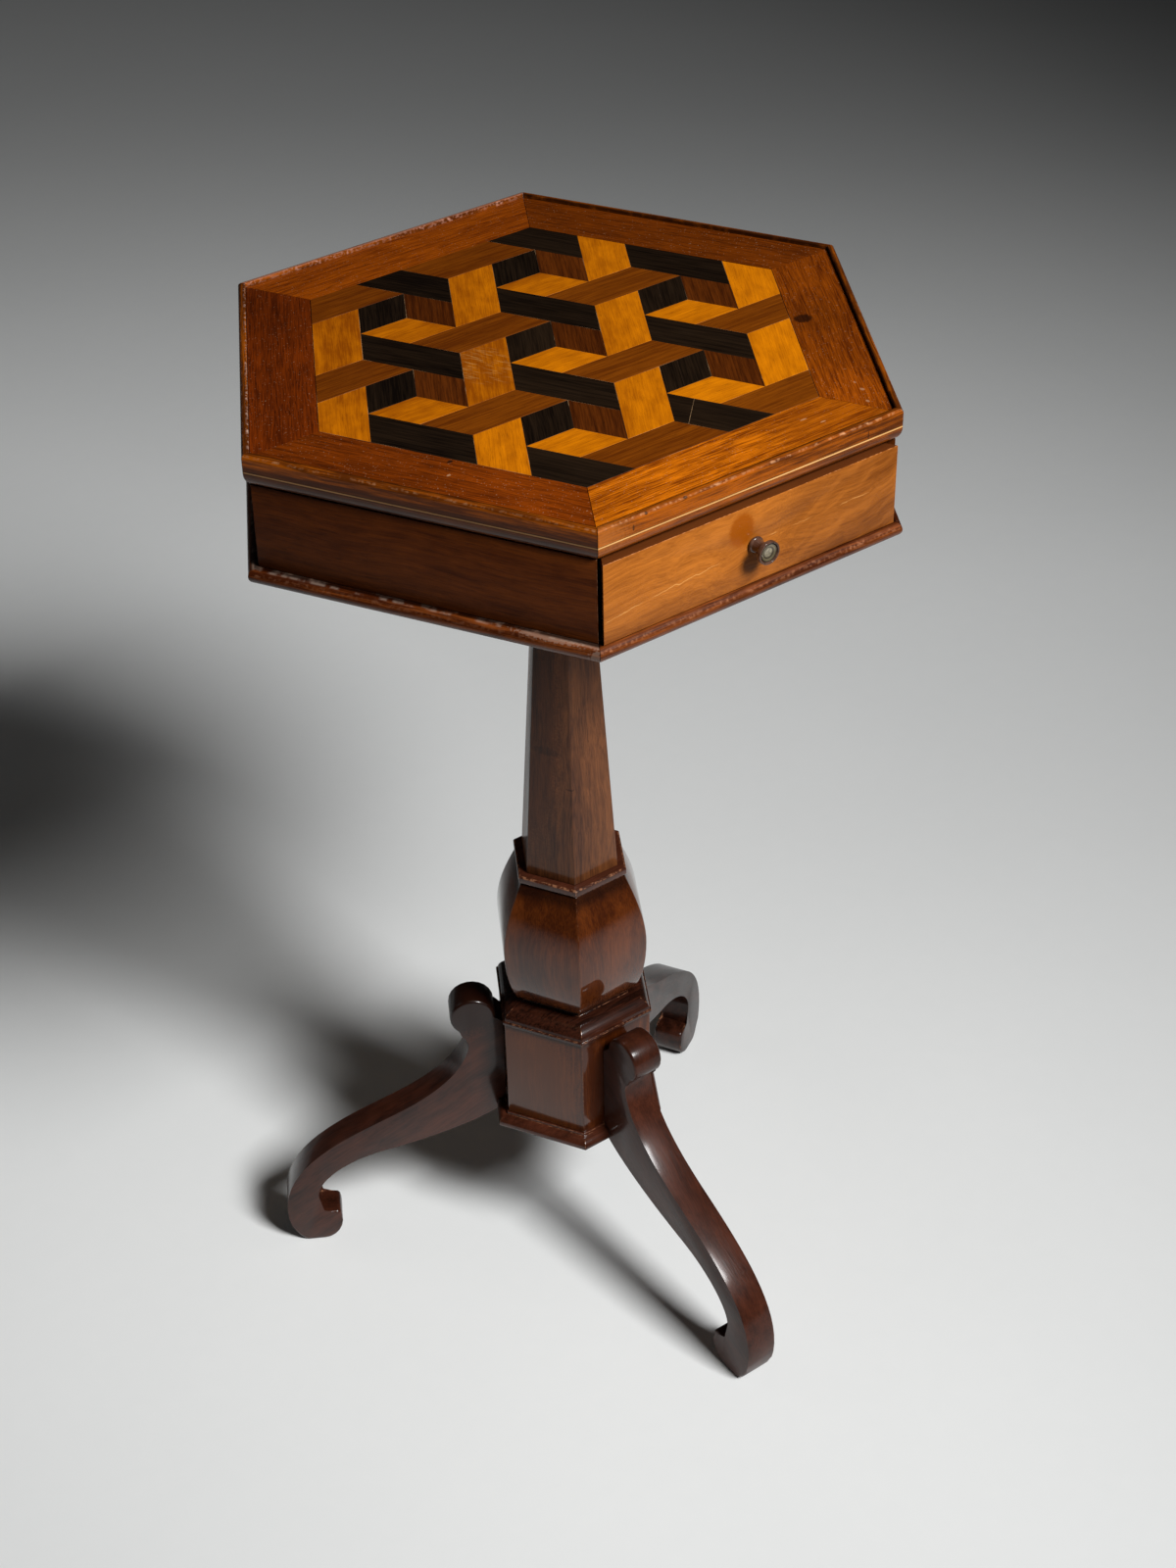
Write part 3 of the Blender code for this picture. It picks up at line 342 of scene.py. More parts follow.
def wood(name, space, tones, figure, polish, worn=WORN, tone=0.5, marks=()):
    """A finished wood: grain at several scales, pores, marks, worn arrises, and the polish on top."""
    n = Nodes(name)
    if space == "tile":
        vector = n.tile_space()
        tone = n.attribute("tone")
    else:
        turn, seed = space
        vector = n.mapped(turn.to_euler("XYZ"), [step * seed for step in SEED_STEP])
    vector = n.swirled(vector, figure.swirl)
    dark, light = tones
    colour = n.mix(figure_share(n, vector, figure, tone), dark, light)
    pores = n.patches(n.stretched(vector, PORES), *OPEN_PORES)
    colour = n.stain(colour, pores, figure.pores, shaded(dark, PORE_SHADE))
    for mark in marks:
        colour = mark(n, colour)
    wear = n.math("MULTIPLY", n.attribute("wear"), n.patches(n.object_space(), *WEAR_PATCHES))
    colour = n.mix(wear, colour, worn)
    # Darkening where strips are marked below 0: partly dirt and partly painted shade
    grime_and_shade = n.math("MULTIPLY", n.attribute("grime_and_shade"), n.patches(n.object_space(), *GRIME_PATCHES))
    colour = n.mix(grime_and_shade, colour, shaded(dark, GRIME_SHADE))
    n.shade({"Base Color": colour})
    lay_polish(n, vector, pores, wear, polish)
    return n.material


def lay_polish(n, vector, pores, wear, polish):
    """The wood's open grain, and a clear coat that is clouded, wavy and dull where it is worn."""
    cloud = n.noise(n.object_space(), POLISH_CLOUDS)
    roughness = n.math("MULTIPLY_ADD", n.math("SUBTRACT", cloud, 0.5), CLOUD_ROUGHNESS, polish.roughness)
    height = n.math("MULTIPLY_ADD", pores, -1.0, grain(n, vector, FINE))
    bump = n.add("Bump", {}, {"Strength": polish.bump, "Distance": GRAIN_RELIEF, "Height": height})
    wave = n.noise(n.stretched(vector, SKIN_WAVE), 1.0)
    skin = n.add("Bump", {}, {"Strength": polish.skin, "Distance": SKIN_RELIEF, "Height": wave})
    n.shade({
        "Roughness": n.math("MULTIPLY_ADD", wear, WORN_ROUGHNESS, roughness),
        "Specular IOR Level": polish.specular,
        "Normal": bump.outputs[0],
        "Coat Weight": polish.coat,
        "Coat Roughness": polish.coat_roughness,
        "Coat Normal": skin.outputs[0],
    })


# Marks that a wood has gathered


# Noise in cycles per metre behind ragged outlines, a wandering crack and settled dust
BLOT_RAGS = 700.0
CRACK_WANDERS = 160.0
DUST_DRIFTS = 85.0
# Noise cut into patches, as for the woods
CRACK_OPEN = (55.0, 2.0, 0.38, 0.55)
SPECKS = (900.0, 1.0, 0.70, 0.74)
SCRATCH_LINES = (1.0, 2.0, 0.52, 0.68)
FLAME_CURLS = (1.0, 3.0, 0.46, 0.62)
CRACK_WANDER = 0.0035
CRACK_CORE = 0.3
CRACK_END = 0.003
SCRATCH_TURN = (0.0, 0.0, math.radians(62))
SCRATCH_STRETCH = (110.0, 900.0, 1.0)
SCRATCH_CORE = 0.55
FLAME_TURN = (0.0, math.radians(24), 0.0)
FLAME_STRETCH = (16.0, 40.0, 150.0)
FLAME_SWIRL = 0.030
FLAME_SWIRLS = 26.0
# Depths below a piece's top between which its upper face's colour sets in
FACE_START = 0.00012
FACE_FULL = 0.00004


def blot(place, size, tint, strength=1.0, ragged=0.35, blend="MIX", core=0.65):
    """A patch of another colour round a point, with a ragged outline that fades out from its core."""
    def mark(n, colour):
        rough = n.math("SUBTRACT", n.noise(n.object_space(), BLOT_RAGS), 0.5)
        distance = n.math("MULTIPLY_ADD", rough, 2 * ragged, n.distance(place, size))
        return n.stain(colour, n.fade(distance, core, 1.0), strength, tint, blend)
    return mark


def crack(path, width, tint, strength):
    """A hairline that follows (x, z) points across the drawer front, open in some places only."""
    def mark(n, colour):
        spot = n.object_space()
        axes = n.axes(spot)
        line = path[0][1]
        for (x0, z0), (x1, z1) in zip(path, path[1:]):
            run = n.clamp(n.math("SUBTRACT", axes[0], x0), 0.0, x1 - x0)
            line = n.math("MULTIPLY_ADD", run, (z1 - z0) / (x1 - x0), line)
        wander = n.math("SUBTRACT", n.noise(spot, CRACK_WANDERS, 4.0), 0.5)
        line = n.math("MULTIPLY_ADD", wander, CRACK_WANDER, line)
        distance = n.math("ABSOLUTE", n.math("SUBTRACT", axes[2], line))
        share = n.fade(distance, CRACK_CORE * width, width)
        share = n.math("MULTIPLY", share, n.patches(spot, *CRACK_OPEN))
        for end, inward in ((path[0][0], CRACK_END), (path[-1][0], -CRACK_END)):
            share = n.math("MULTIPLY", share, n.band(axes[0], end, end + inward))
        return n.stain(colour, share, strength, tint)
    return mark


def over(height, tint, strength):
    """Another colour on a piece's upper face."""
    return towards(height - FACE_START, height - FACE_FULL, tint, strength)


def towards(start, full, tint, strength, bare=0.0):
    """Another colour that grows from one height to another, missing over a share of the length."""
    def mark(n, colour):
        height = n.axes(n.object_space())[2]
        share = n.band(height, start, full) if full > start else n.fade(height, full, start)
        if bare:
            drifts = n.patches(n.object_space(), DUST_DRIFTS, 5.0, bare - 0.03, bare + 0.07)
            share = n.math("MULTIPLY", share, drifts)
        return n.stain(colour, share, strength, tint)
    return mark


def specks(tint, strength):
    """Fine dust and nicks scattered over a face."""
    def mark(n, colour):
        return n.stain(colour, n.patches(n.object_space(), *SPECKS), strength, tint)
    return mark


def scratches(place, size, tint, strength):
    """Fine pale lines rubbed into the polish round a point."""
    def mark(n, colour):
        lines = n.patches(n.stretched(n.mapped(SCRATCH_TURN), SCRATCH_STRETCH), *SCRATCH_LINES)
        share = n.math("MULTIPLY", lines, n.fade(n.distance(place, size), SCRATCH_CORE, 1.0))
        return n.stain(colour, share, strength, tint)
    return mark


def flame(start, full, tint, strength):
    """Curling light figure that grows across a face from one x to another."""
    def mark(n, colour):
        bent = n.swirled(n.mapped(FLAME_TURN), FLAME_SWIRL, FLAME_SWIRLS)
        curl = n.patches(n.stretched(bent, FLAME_STRETCH), *FLAME_CURLS)
        share = n.math("MULTIPLY", curl, n.band(n.axes(n.object_space())[0], start, full))
        return n.stain(colour, share, strength, tint)
    return mark


FRENCH_POLISH = Polish(0.45, 0.05, 0.85, 0.10, 0.20, 0.10)
SATIN_POLISH = Polish(0.38, 0.10, 0.35, 0.16, 0.25, 0.24)
RUBBED_POLISH = Polish(0.48, 0.08, 0.35, 0.14, 0.25, 0.15)
MOULDING_POLISH = Polish(0.48, 0.08, 0.60, 0.20, 0.25, 0.30)
WAXED = Polish(0.50, 0.08, 0.20, 0.22, 0.25, 0.20)
DULL = Polish(0.60, 0.08, 0.05, 0.30, 0.25, 0.20)
BARE = Polish(0.75, 0.20, 0.0, 0.30, 0.40, 0.20)

# Dark and light tone of each wood
MAHOGANY = ((0.040, 0.0080, 0.0012), (0.190, 0.0450, 0.0060))
FADED_MAHOGANY = ((0.040, 0.0120, 0.0045), (0.195, 0.0660, 0.0195))
DARK_MAHOGANY = ((0.010, 0.0026, 0.0012), (0.070, 0.0185, 0.0085))
FRIEZE = ((0.042, 0.0082, 0.0008), (0.115, 0.0260, 0.0026))
EDGE = ((0.085, 0.0182, 0.0010), (0.350, 0.0800, 0.0020))
MOULDING = ((0.040, 0.0070, 0.0008), (0.260, 0.0640, 0.0100))
WALNUT = ((0.220, 0.0595, 0.0060), (0.450, 0.1390, 0.0168))
ROSEWOOD = ((0.020, 0.009, 0.006), (0.105, 0.052, 0.034))
PINE = ((0.330, 0.180, 0.075), (0.580, 0.370, 0.180))
OAK = ((0.240, 0.130, 0.055), (0.440, 0.270, 0.125))
BOXWOOD = ((0.640, 0.315, 0.098), (0.900, 0.500, 0.188))
AGED_BOXWOOD = ((0.190, 0.095, 0.035), (0.340, 0.180, 0.075))
SATINWOOD = ((0.250, 0.0560, 0.0003), (0.680, 0.2000, 0.0008))
EBONISED = ((0.003, 0.0014, 0.0007), (0.019, 0.0100, 0.0046))
BROWN = ((0.095, 0.0190, 0.0006), (0.205, 0.0500, 0.0016))
RUSSET = ((0.036, 0.0070, 0.0006), (0.100, 0.0220, 0.0018))
# Wear, dust and dirt; the dark wax colour also serves as painted shade on the baluster
PALE_WEAR = (0.45, 0.24, 0.12)
BLEACHED = (0.64, 0.32, 0.15)
BLEACHED_END = (0.480, 0.145, 0.022)
RUBBED_MOULDING = (0.56, 0.23, 0.105)
RUBBED_WALNUT = (0.46, 0.17, 0.05)
DUST = (0.42, 0.33, 0.26)
STAND_WEAR = (0.20, 0.085, 0.042)
DARK_WEAR = (0.085, 0.030, 0.012)
DARK_FASCIA = (0.034, 0.0085, 0.0020)
WAX_AND_SHADE = (0.008, 0.0020, 0.0008)


# Meshes


def to_object(name, bm, material, smooth=40):
    bmesh.ops.recalc_face_normals(bm, faces=bm.faces)
    mesh = bpy.data.meshes.new(name)
    bm.to_mesh(mesh)
    bm.free()
    obj = bpy.data.objects.new(name, mesh)
    bpy.context.collection.objects.link(obj)
    mesh.materials.append(material)
    mesh.shade_smooth()
    mesh.set_sharp_from_angle(angle=math.radians(smooth))
    return obj


def stand_for(obj, body, slot, *nodes):
    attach(obj, body)
    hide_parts(*nodes)
    return obj


def heights(node):
    """The lowest and highest z of a solid."""
    low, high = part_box(node)
    return low.z, high.z


def paint(node, material):
    """Gives a solid that stays its finished material."""
    obj = frame["nodes"][node]
    obj.data.materials.clear()
    obj.data.materials.append(material)


def dress(node, material, body, slot, arris, outside=0.0, sharp=25):
    """A copy of a solid with clean faces and eased arrises, marked as worn along them."""
    bm = bmesh.new()
    bm.from_mesh(frame["nodes"][node].data)
    bmesh.ops.remove_doubles(bm, verts=bm.verts, dist=MERGE)
    bmesh.ops.dissolve_limit(bm, angle_limit=FLAT_ANGLE, verts=bm.verts, edges=bm.edges)
    eased = []
    for edge in bm.edges:
        far = all(math.hypot(v.co.x, v.co.y - AXIS_Y) > outside for v in edge.verts)
        if far and len(edge.link_faces) == 2 and edge.calc_face_angle() > math.radians(sharp):
            eased.append(edge)
    bmesh.ops.bevel(bm, geom=eased, offset=arris, segments=ARRIS_STEPS, profile=0.5, affect="EDGES",
                    clamp_overlap=True)
    mark_arrises(bm)
    return stand_for(to_object(f"{node}_finished", bm, material), body, slot, node)


def mark_arrises(bm):
    """Marks the points that lie within an eased arris, where every face is narrow, as worn."""
    wear = bm.verts.layers.float.new("wear")
    for vert in bm.verts:
        widths = [face.calc_area() / max(e.calc_length() for e in face.edges) for face in vert.link_faces]
        vert[wear] = 1.0 if max(widths, default=1.0) < ARRIS_LIMIT else 0.0


def arc(centre, radii, start, turn, steps=ARC_STEPS):
    points = []
    for i in range(steps + 1):
        angle = math.radians(start + turn * i / steps)
        points.append((centre[0] + radii[0] * math.cos(angle), centre[1] + radii[1] * math.sin(angle)))
    return points


def curve(start, handle1, handle2, end, steps):
    """A Bezier curve without its first point."""
    points = []
    for i in range(1, steps + 1):
        t = i / steps
        weights = ((1 - t) ** 3, 3 * t * (1 - t) ** 2, 3 * t * t * (1 - t), t ** 3)
        corners = (start, handle1, handle2, end)
        points.append(tuple(sum(w * p[k] for w, p in zip(weights, corners)) for k in (0, 1)))
    return points


def add_prism(bm, rings):
    """Closes a stack of anticlockwise rings into a solid, and gives its faces."""
    faces = [bm.faces.new(rings[-1]), bm.faces.new(list(reversed(rings[0])))]
    for lower, upper in zip(rings, rings[1:]):
        for i in range(len(lower)):
            j = (i + 1) % len(lower)
            faces.append(bm.faces.new((lower[i], lower[j], upper[j], upper[i])))
    return faces


def dent(point, place, seed):
    """How deep a dent lies at a section's point, that far along the strip."""
    level = point[1] * DENTS_ACROSS + DENT_SEED_STEP * seed
    spot = Vector((point[0] * DENTS_ACROSS, place * DENTS_ALONG, level))
    return max(0.0, noise.noise(spot) + FINE_DENT * noise.noise(FINE_DENT_SCALE * spot))


def worn_strip(name, node, section, exposure, material, slot, seed):
    """A mitred strip along one side, in short stations so that its exposed arrises can be dented.

    Exposure runs from 1, rubbed bare, through 0 to -1, darkened by old wax and dirt and, along the lips and
    the base moulding's top, by painted shade; the pale rub on the back lips is partly painted highlight.
    """
    turn = Matrix.Rotation(face_angle(name), 4, "Z")
    middle = Vector((sum(p[0] for p in section), sum(p[1] for p in section))) / len(section)
    length = 2 * section[0][0] * HALF_TAN
    count = max(2, round(length / STATION_LENGTH))
    bm = bmesh.new()
    wear = bm.verts.layers.float.new("wear")
    grime_and_shade = bm.verts.layers.float.new("grime_and_shade")
    rings = []
    for k in range(count + 1):
        share = 2 * k / count - 1
        ring = []
        for point, bare in zip(section, exposure):
            reach = point[0] * HALF_TAN - MITRE
            rub = dent(point, share * reach, seed) * max(0.0, bare)
            inward = (middle - Vector(point)).normalized() * DENT_DEPTH * rub
            place = Vector((point[0] + inward.x, share * reach, point[1] + inward.y))
            vert = bm.verts.new(turn @ place + Vector((0, AXIS_Y, 0)))
            # Pale above 0, partly painted highlight on the back lips; dark below 0, partly dirt and partly
            # painted shade
            vert[wear] = min(1.0, BARE_WEAR * max(0.0, bare) + DENT_WEAR * rub)
            vert[grime_and_shade] = max(0.0, -bare)
            ring.append(vert)
        rings.append(ring)
    bm.faces.new(rings[0])
    bm.faces.new(list(reversed(rings[-1])))
    for near, far in zip(rings, rings[1:]):
        for i in range(len(section)):
            j = (i + 1) % len(section)
            bm.faces.new((near[j], near[i], far[i], far[j]))
    return stand_for(to_object(f"{node}_moulded", bm, material), "table", slot, node)


# Edges, strings and borders of the top


# The moulded edge by side: tone, wear colour, gloss, and how far its lip (darkened where below 0) and its
# rounded top are rubbed
# Painted light on the lip: its dark inner edge is partly old dirt and partly painted shade, and the pale rub
# on the back and back-left lips, in a pinkish wear colour, is partly wear and partly painted highlight where
# the lamp lights their inner wall
EdgeLook = namedtuple("EdgeLook", "tone worn coat lip crown")
PLAIN_EDGE = EdgeLook(0.12, PALE_WEAR, 0.5, -0.9, 0.4)
EDGE_LOOKS = {
    "front": EdgeLook(0.46, BLEACHED, 0.35, -0.9, 0.65),
    "front_left": PLAIN_EDGE._replace(tone=0.38),
    "back": PLAIN_EDGE._replace(worn=(0.46, 0.22, 0.15), lip=0.8),
    "back_left": PLAIN_EDGE._replace(worn=(0.46, 0.30, 0.23), lip=0.9),
}
EDGE_FIGURE = Figure(0.65, 0.55, 0.70, 0.20, 0.60, 0.004)
STRING_FIGURE = Figure(0.30, 0.35, 0.20, 0.0, 0.2, 0.001)
# How narrow the rub along the rounded top is, and how much of the lip's rub, with its painted highlight,
# reaches its foot
CROWN_NARROWNESS = 12
FOOT_RUB = 0.5
# Nicks in the front edge: place along it, height, half width and half height of each
EDGE_NICKS = (
    (0.0818, 0.7115, 0.0004, 0.0035),
    (-0.0751, 0.7185, 0.0012, 0.0010),
    (-0.0840, 0.7130, 0.0008, 0.0022),
    (-0.0486, 0.7185, 0.0018, 0.0008),
)
NICK_DEPTH = 0.004
# Depths below the crest between which the fascia darkens
FASCIA_START = 0.0055
FASCIA_FULL = 0.0085
# Heights within a string between which its dirt clears
STRING_DIRT = 0.0001
STRING_CLEAN = 0.0003


def edge_section(look):
    """Outline of the moulded edge, and how bare of polish each of its points has been rubbed; on the lip this
    also carries painted highlight and painted shade.
    """
    low, high = heights("top_edge_front")
    string_low = low + EDGE_NOSE_HEIGHT
    nose = (TOP_APOTHEM - EDGE_TUCK, string_low - STRING_FIT)
    crown = (TOP_APOTHEM - LIP_ROUND, high - LIP_ROUND)
    groove = TOP_APOTHEM - STRING_GROOVE
    inner = TOP_APOTHEM - EDGE_INSET
    wall = TOP_APOTHEM - LIP_WIDTH
    ledge = high - EDGE_LEDGE_DROP
    points = [(inner, low)]
    points += arc(nose, (EDGE_TUCK, nose[1] - low), -90, 90)
    points += [(groove, nose[1]), (groove, nose[1] + STRING_ROOM), (TOP_APOTHEM, nose[1] + STRING_ROOM)]
    bare = [0.0] * len(points)
    points += arc(crown, (LIP_ROUND, LIP_ROUND), 0, 90)
    swell = [math.sin(math.pi * (i + 1) / (ARC_STEPS + 2)) for i in range(ARC_STEPS + 1)]
    bare += [look.crown * s ** CROWN_NARROWNESS for s in swell]
    # The lip's inner edge and wall: pale rub that is partly painted highlight on the back lips, and below 0
    # darkening that is partly dirt and partly painted shade
    points += [(wall + LIP_EASE, high), (wall, high - LIP_EASE)]
    bare += [look.lip, look.lip]
    points += [(wall, ledge), (inner, ledge)]
    foot = FOOT_RUB * look.lip if look.lip > 0 else look.lip
    bare += [foot, foot]
    return points, bare


def edge_marks(name):
    """Nicks and a bleached end at the front, a dark fascia on the other sides, and on the back a pale lip
    top, partly wear and partly painted highlight.
    """
    face = AXIS_Y - TOP_APOTHEM
    crest = heights("top_edge_front")[1]
    if name == "front":
        marks = [blot((x, face, z), (wide, NICK_DEPTH, tall), WAX_AND_SHADE, 0.85, 0.3)
                 for x, z, wide, tall in EDGE_NICKS]
        end = blot((-0.1035, face, 0.7130), (0.0260, 0.010, 0.014), BLEACHED_END, 0.50, 0.4, core=0.1)
        return marks + [end]
    marks = [towards(crest - FASCIA_START, crest - FASCIA_FULL, DARK_FASCIA, 0.70)]
    # Painted highlight, partly wear: the back lip's top is laid over in its pale wear colour
    if name == "back":
        marks.append(over(crest, EDGE_LOOKS[name].worn, 0.45))
    return marks


def make_edges():
    for number, name in enumerate(FACES):
        look = EDGE_LOOKS.get(name, PLAIN_EDGE)
        space = (along_side(name), SEEDS["edge"] + number)
        polish = RUBBED_POLISH._replace(coat=look.coat)
        marks = edge_marks(name)
        material = wood(f"edge_{name}", space, EDGE, EDGE_FIGURE, polish, look.worn, look.tone, marks)
        section, bare = edge_section(look)
        worn_strip(name, f"top_edge_{name}", section, bare, material, "edge_mahogany", number)


def make_strings():
    """Pale strings, aged on all sides but the front, with dirt along both their edges."""
    for number, name in enumerate(FACES):
        node = f"string_{name}"
        low, high = heights(node)
        dirt = [towards(low + STRING_CLEAN, low + STRING_DIRT, WAX_AND_SHADE, 0.8),
                towards(high - STRING_CLEAN, high - STRING_DIRT, WAX_AND_SHADE, 0.8)]
        tones = BOXWOOD if name == "front" else AGED_BOXWOOD
        space = (along_side(name), SEEDS["string"] + number)
        paint(node, wood(node, space, tones, STRING_FIGURE, WAXED, marks=dirt))


# Border strips of the top, each cut from other stuff: dark and light tone, and streak strength
BORDERS = {
    "front": ((0.140, 0.0240, 0.0006), (0.580, 0.1450, 0.0021), 0.55),
    "front_right": ((0.085, 0.0140, 0.0005), (0.250, 0.0510, 0.0010), 0.40),
    "back_right": ((0.072, 0.0130, 0.0004), (0.190, 0.0370, 0.0009), 0.35),
    "back": ((0.110, 0.0180, 0.0005), (0.300, 0.0600, 0.0010), 0.40),
    "back_left": ((0.060, 0.0085, 0.0004), (0.165, 0.0250, 0.0008), 0.35),
    "front_left": ((0.065, 0.0105, 0.0004), (0.190, 0.0330, 0.0008), 0.40),
}
BORDER_FIGURE = Figure(0.35, 0.8, 0.85, 0.10, 0.80, 0.004)
BORDER_SPECKS = specks((0.50, 0.34, 0.20), 0.26)
PALE_SPECK = (0.50, 0.30, 0.17)
PALE_NICK = (0.55, 0.30, 0.15)
# Knots, nicks and specks on the border, by strip: place, size, colour and strength
BORDER_MARKS = {
    "front_right": (((0.1378, -0.0500), (0.0070, 0.0060), (0.012, 0.003, 0.001), 0.85),
                    ((0.1078, -0.1386), (0.0014, 0.0020), PALE_SPECK, 0.4),
                    ((0.1098, -0.1297), (0.0010, 0.0014), PALE_SPECK, 0.35),
                    ((0.1010, -0.1510), (0.0012, 0.0018), PALE_SPECK, 0.4)),
    "front": (((0.0720, -0.1560), (0.0500, 0.0300), (0.150, 0.0280, 0.0010), 0.38),
              ((0.0583, -0.1451), (0.0030, 0.0007), PALE_NICK, 0.6),
              ((0.0656, -0.1536), (0.0022, 0.0007), PALE_NICK, 0.6)),
    "front_left": (((-0.1258, -0.0611), (0.0022, 0.0014), (0.010, 0.004, 0.002), 0.9),
                   ((-0.1347, -0.0732), (0.0016, 0.0010), (0.45, 0.26, 0.14), 0.7)),
}
MARK_DEPTH = 0.01
# Uneven fading of the border, by strip: place, reach, and how much lighter or darker the wood has become
BORDER_FADING = {
    "front": (((-0.0400, -0.1480), 0.090, 1.18),),
    "front_left": (((-0.1180, -0.1200), 0.075, 1.40),),
    "front_right": (((0.1430, -0.0500), 0.040, 0.75), ((0.1010, -0.1350), 0.040, 1.35)),
    "back_left": (((-0.1150, 0.1600), 0.070, 0.78),),
}


def make_borders():
    for number, name in enumerate(FACES):
        node = f"border_{name}"
        dark, light, streak = BORDERS[name]
        figure = BORDER_FIGURE._replace(streak=BORDER_FIGURE.streak * streak)
        marks = [BORDER_SPECKS]
        for place, reach, change in BORDER_FADING.get(name, ()):
            marks.append(blot((*place, SURFACE), (reach,) * 3, (change,) * 3, 1.0, 0.1, "MULTIPLY", 0.1))
        for place, size, tint, strength in BORDER_MARKS.get(name, ()):
            marks.append(blot((*place, SURFACE), (*size, MARK_DEPTH), tint, strength))
        space = (along_side(name), SEEDS["border"] + number)
        paint(node, wood(node, space, (dark, light), figure, WAXED, PALE_WEAR, marks=marks))


# The parquetry


# Tiles of one cell in lattice steps: wood, corners, and the grain's direction in plan
CELL = (
    ("ebonised", [(0, 0), (0, 1), (-1, 1), (-1, 0)], 60),
    ("russet", [(0, 0), (1, -1), (1, 0), (0, 1)], 60),
    ("satinwood", [(0, 0), (-1, 0), (0, -1), (1, -1)], 0),
    ("satinwood", [(-2, 1), (-2, -1), (-1, -1), (-1, 1)], 60),
    ("ebonised", [(-1, 3), (-1, 2), (1, 0), (1, 1)], -60),
    ("brown", [(-3, 2), (-2, 1), (0, 1), (-1, 2)], 0),
)
# Dark tiles pieced from two, by a lattice point inside each and the line of its joint
PIECED = (
    ((2.5, 0.5), (1.0, 0.0), 2.45),
    ((2.5, -2.5), (1.0, 0.0), 2.40),
    ((2.5, -3.9), (1.0, -0.35), 3.75),
)
TILE_LOOKS = {
    "satinwood": (SATINWOOD, Figure(0.30, 0.12, 0.25, 0.30, 0.35, 0.003)),
    "ebonised": (EBONISED, Figure(0.30, 0.40, 0.50, 0.0, 0.30, 0.002)),
    "brown": (BROWN, Figure(0.40, 0.50, 0.50, 0.0, 0.50, 0.003)),
    "russet": (RUSSET, Figure(0.30, 0.55, 0.65, 0.0, 0.55, 0.002)),
}
TILE_TONES = (0.32, 0.62)
TONE_SEED = 7
GRAIN_SEED = 11
GRAIN_SPREAD = 3
# The middle light band is darker and more figured than the rest
AGED = (-1.5, 0.0)
AGED_TONE = 0.16
# Light from the drawer's side has faded the near tiles most, in tone per metre
FADED = Vector((0.8, -1.0))
SCUFF = scratches((-0.0467, 0.0191, SURFACE), (0.024, 0.028, 0.010), (0.58, 0.34, 0.10), 0.32)
# The field's sides as weights of the lattice steps, and its corners in field edges
FIELD_SIDES = ((1, 0), (0, 1), (1, 1), (-1, 0), (0, -1), (-1, -1))
FIELD_CORNERS = ((1, 0), (0, 1), (-1, 1), (-1, 0), (0, -1), (1, -1))
# Old glue in the joints: dark and pale colour, and where the pale is
GLUE = ((0.030, 0.013, 0.005), (0.40, 0.24, 0.11))
GLUE_PATCHES = (38.0, 3.0, 0.48, 0.66)


def clip(polygon, weights, limit):
    """Keeps the side of a polygon where its weighted lattice steps stay within the limit."""
    kept = []
    for here, there in zip(polygon, polygon[1:] + polygon[:1]):
        room = [limit - weights[0] * p[0] - weights[1] * p[1] for p in (here, there)]
        if room[0] >= 0:
            kept.append(here)
        if room[0] * room[1] < 0:
            share = room[0] / (room[0] - room[1])
            kept.append(tuple(a + share * (b - a) for a, b in zip(here, there)))
    return kept


def holds(polygon, point):
    """Whether a convex polygon holds a lattice point."""
    signs = set()
    for here, there in zip(polygon, polygon[1:] + polygon[:1]):
        turn = (there[0] - here[0]) * (point[1] - here[1]) - (there[1] - here[1]) * (point[0] - here[0])
        signs.add(turn > 0)
    return len(signs) == 1


def area(polygon):
    return sum(a[0] * b[1] - a[1] * b[0] for a, b in zip(polygon, polygon[1:] + polygon[:1])) / 2


def pieced(polygon):
    """The tile itself, or its two parts where it is pieced."""
    for point, weights, limit in PIECED:
        if holds(polygon, point):
            other = tuple(-w for w in weights)
            return [clip(polygon, weights, limit), clip(polygon, other, -limit)]
    return [polygon]


def plan(point):
    """A lattice point's place in plan."""
    return Vector((TILE_EDGE * (point[0] + point[1] / 2), TILE_EDGE * point[1] * HALF_COS))


def shrunk(outline, distance):
    """A convex outline, anticlockwise, drawn in by a distance along each side."""
    drawn = []
    count = len(outline)
    for i in range(count):
        before, here, after = outline[i - 1], outline[i], outline[(i + 1) % count]
        first = (here - before).normalized()
        second = (after - here).normalized()
        normals = [Vector((-d.y, d.x)) for d in (first, second)]
        spread = normals[0] + normals[1]
        drawn.append(here + spread * (distance / (1 + normals[0].dot(normals[1]))))
    return drawn


def field_tiles():
    """Every tile of the field as its wood, lattice corners, grain direction and tone."""
    rng = random.Random(TONE_SEED)
    tiles = []
    reach = [i for i in range(-2 * FIELD_EDGES, 2 * FIELD_EDGES + 1) if i % CELL_EDGES == 0]
    for i, j in ((i, j) for i in reach for j in reach):
        for kind, corners, heading in CELL:
            polygon = [(i + a, j + b) for a, b in corners]
            for weights in FIELD_SIDES:
                polygon = clip(polygon, weights, FIELD_EDGES)
            if len(polygon) < 3 or abs(area(polygon)) < SMALLEST_TILE:
                continue
            middle = plan([sum(p[k] for p in polygon) / len(polygon) for k in (0, 1)])
            tone = rng.uniform(*TILE_TONES) + FADED.dot(middle)
            if holds(polygon, AGED):
                tone = AGED_TONE
            for part in pieced(polygon):
                tiles.append((kind, part, heading, tone))
    return tiles


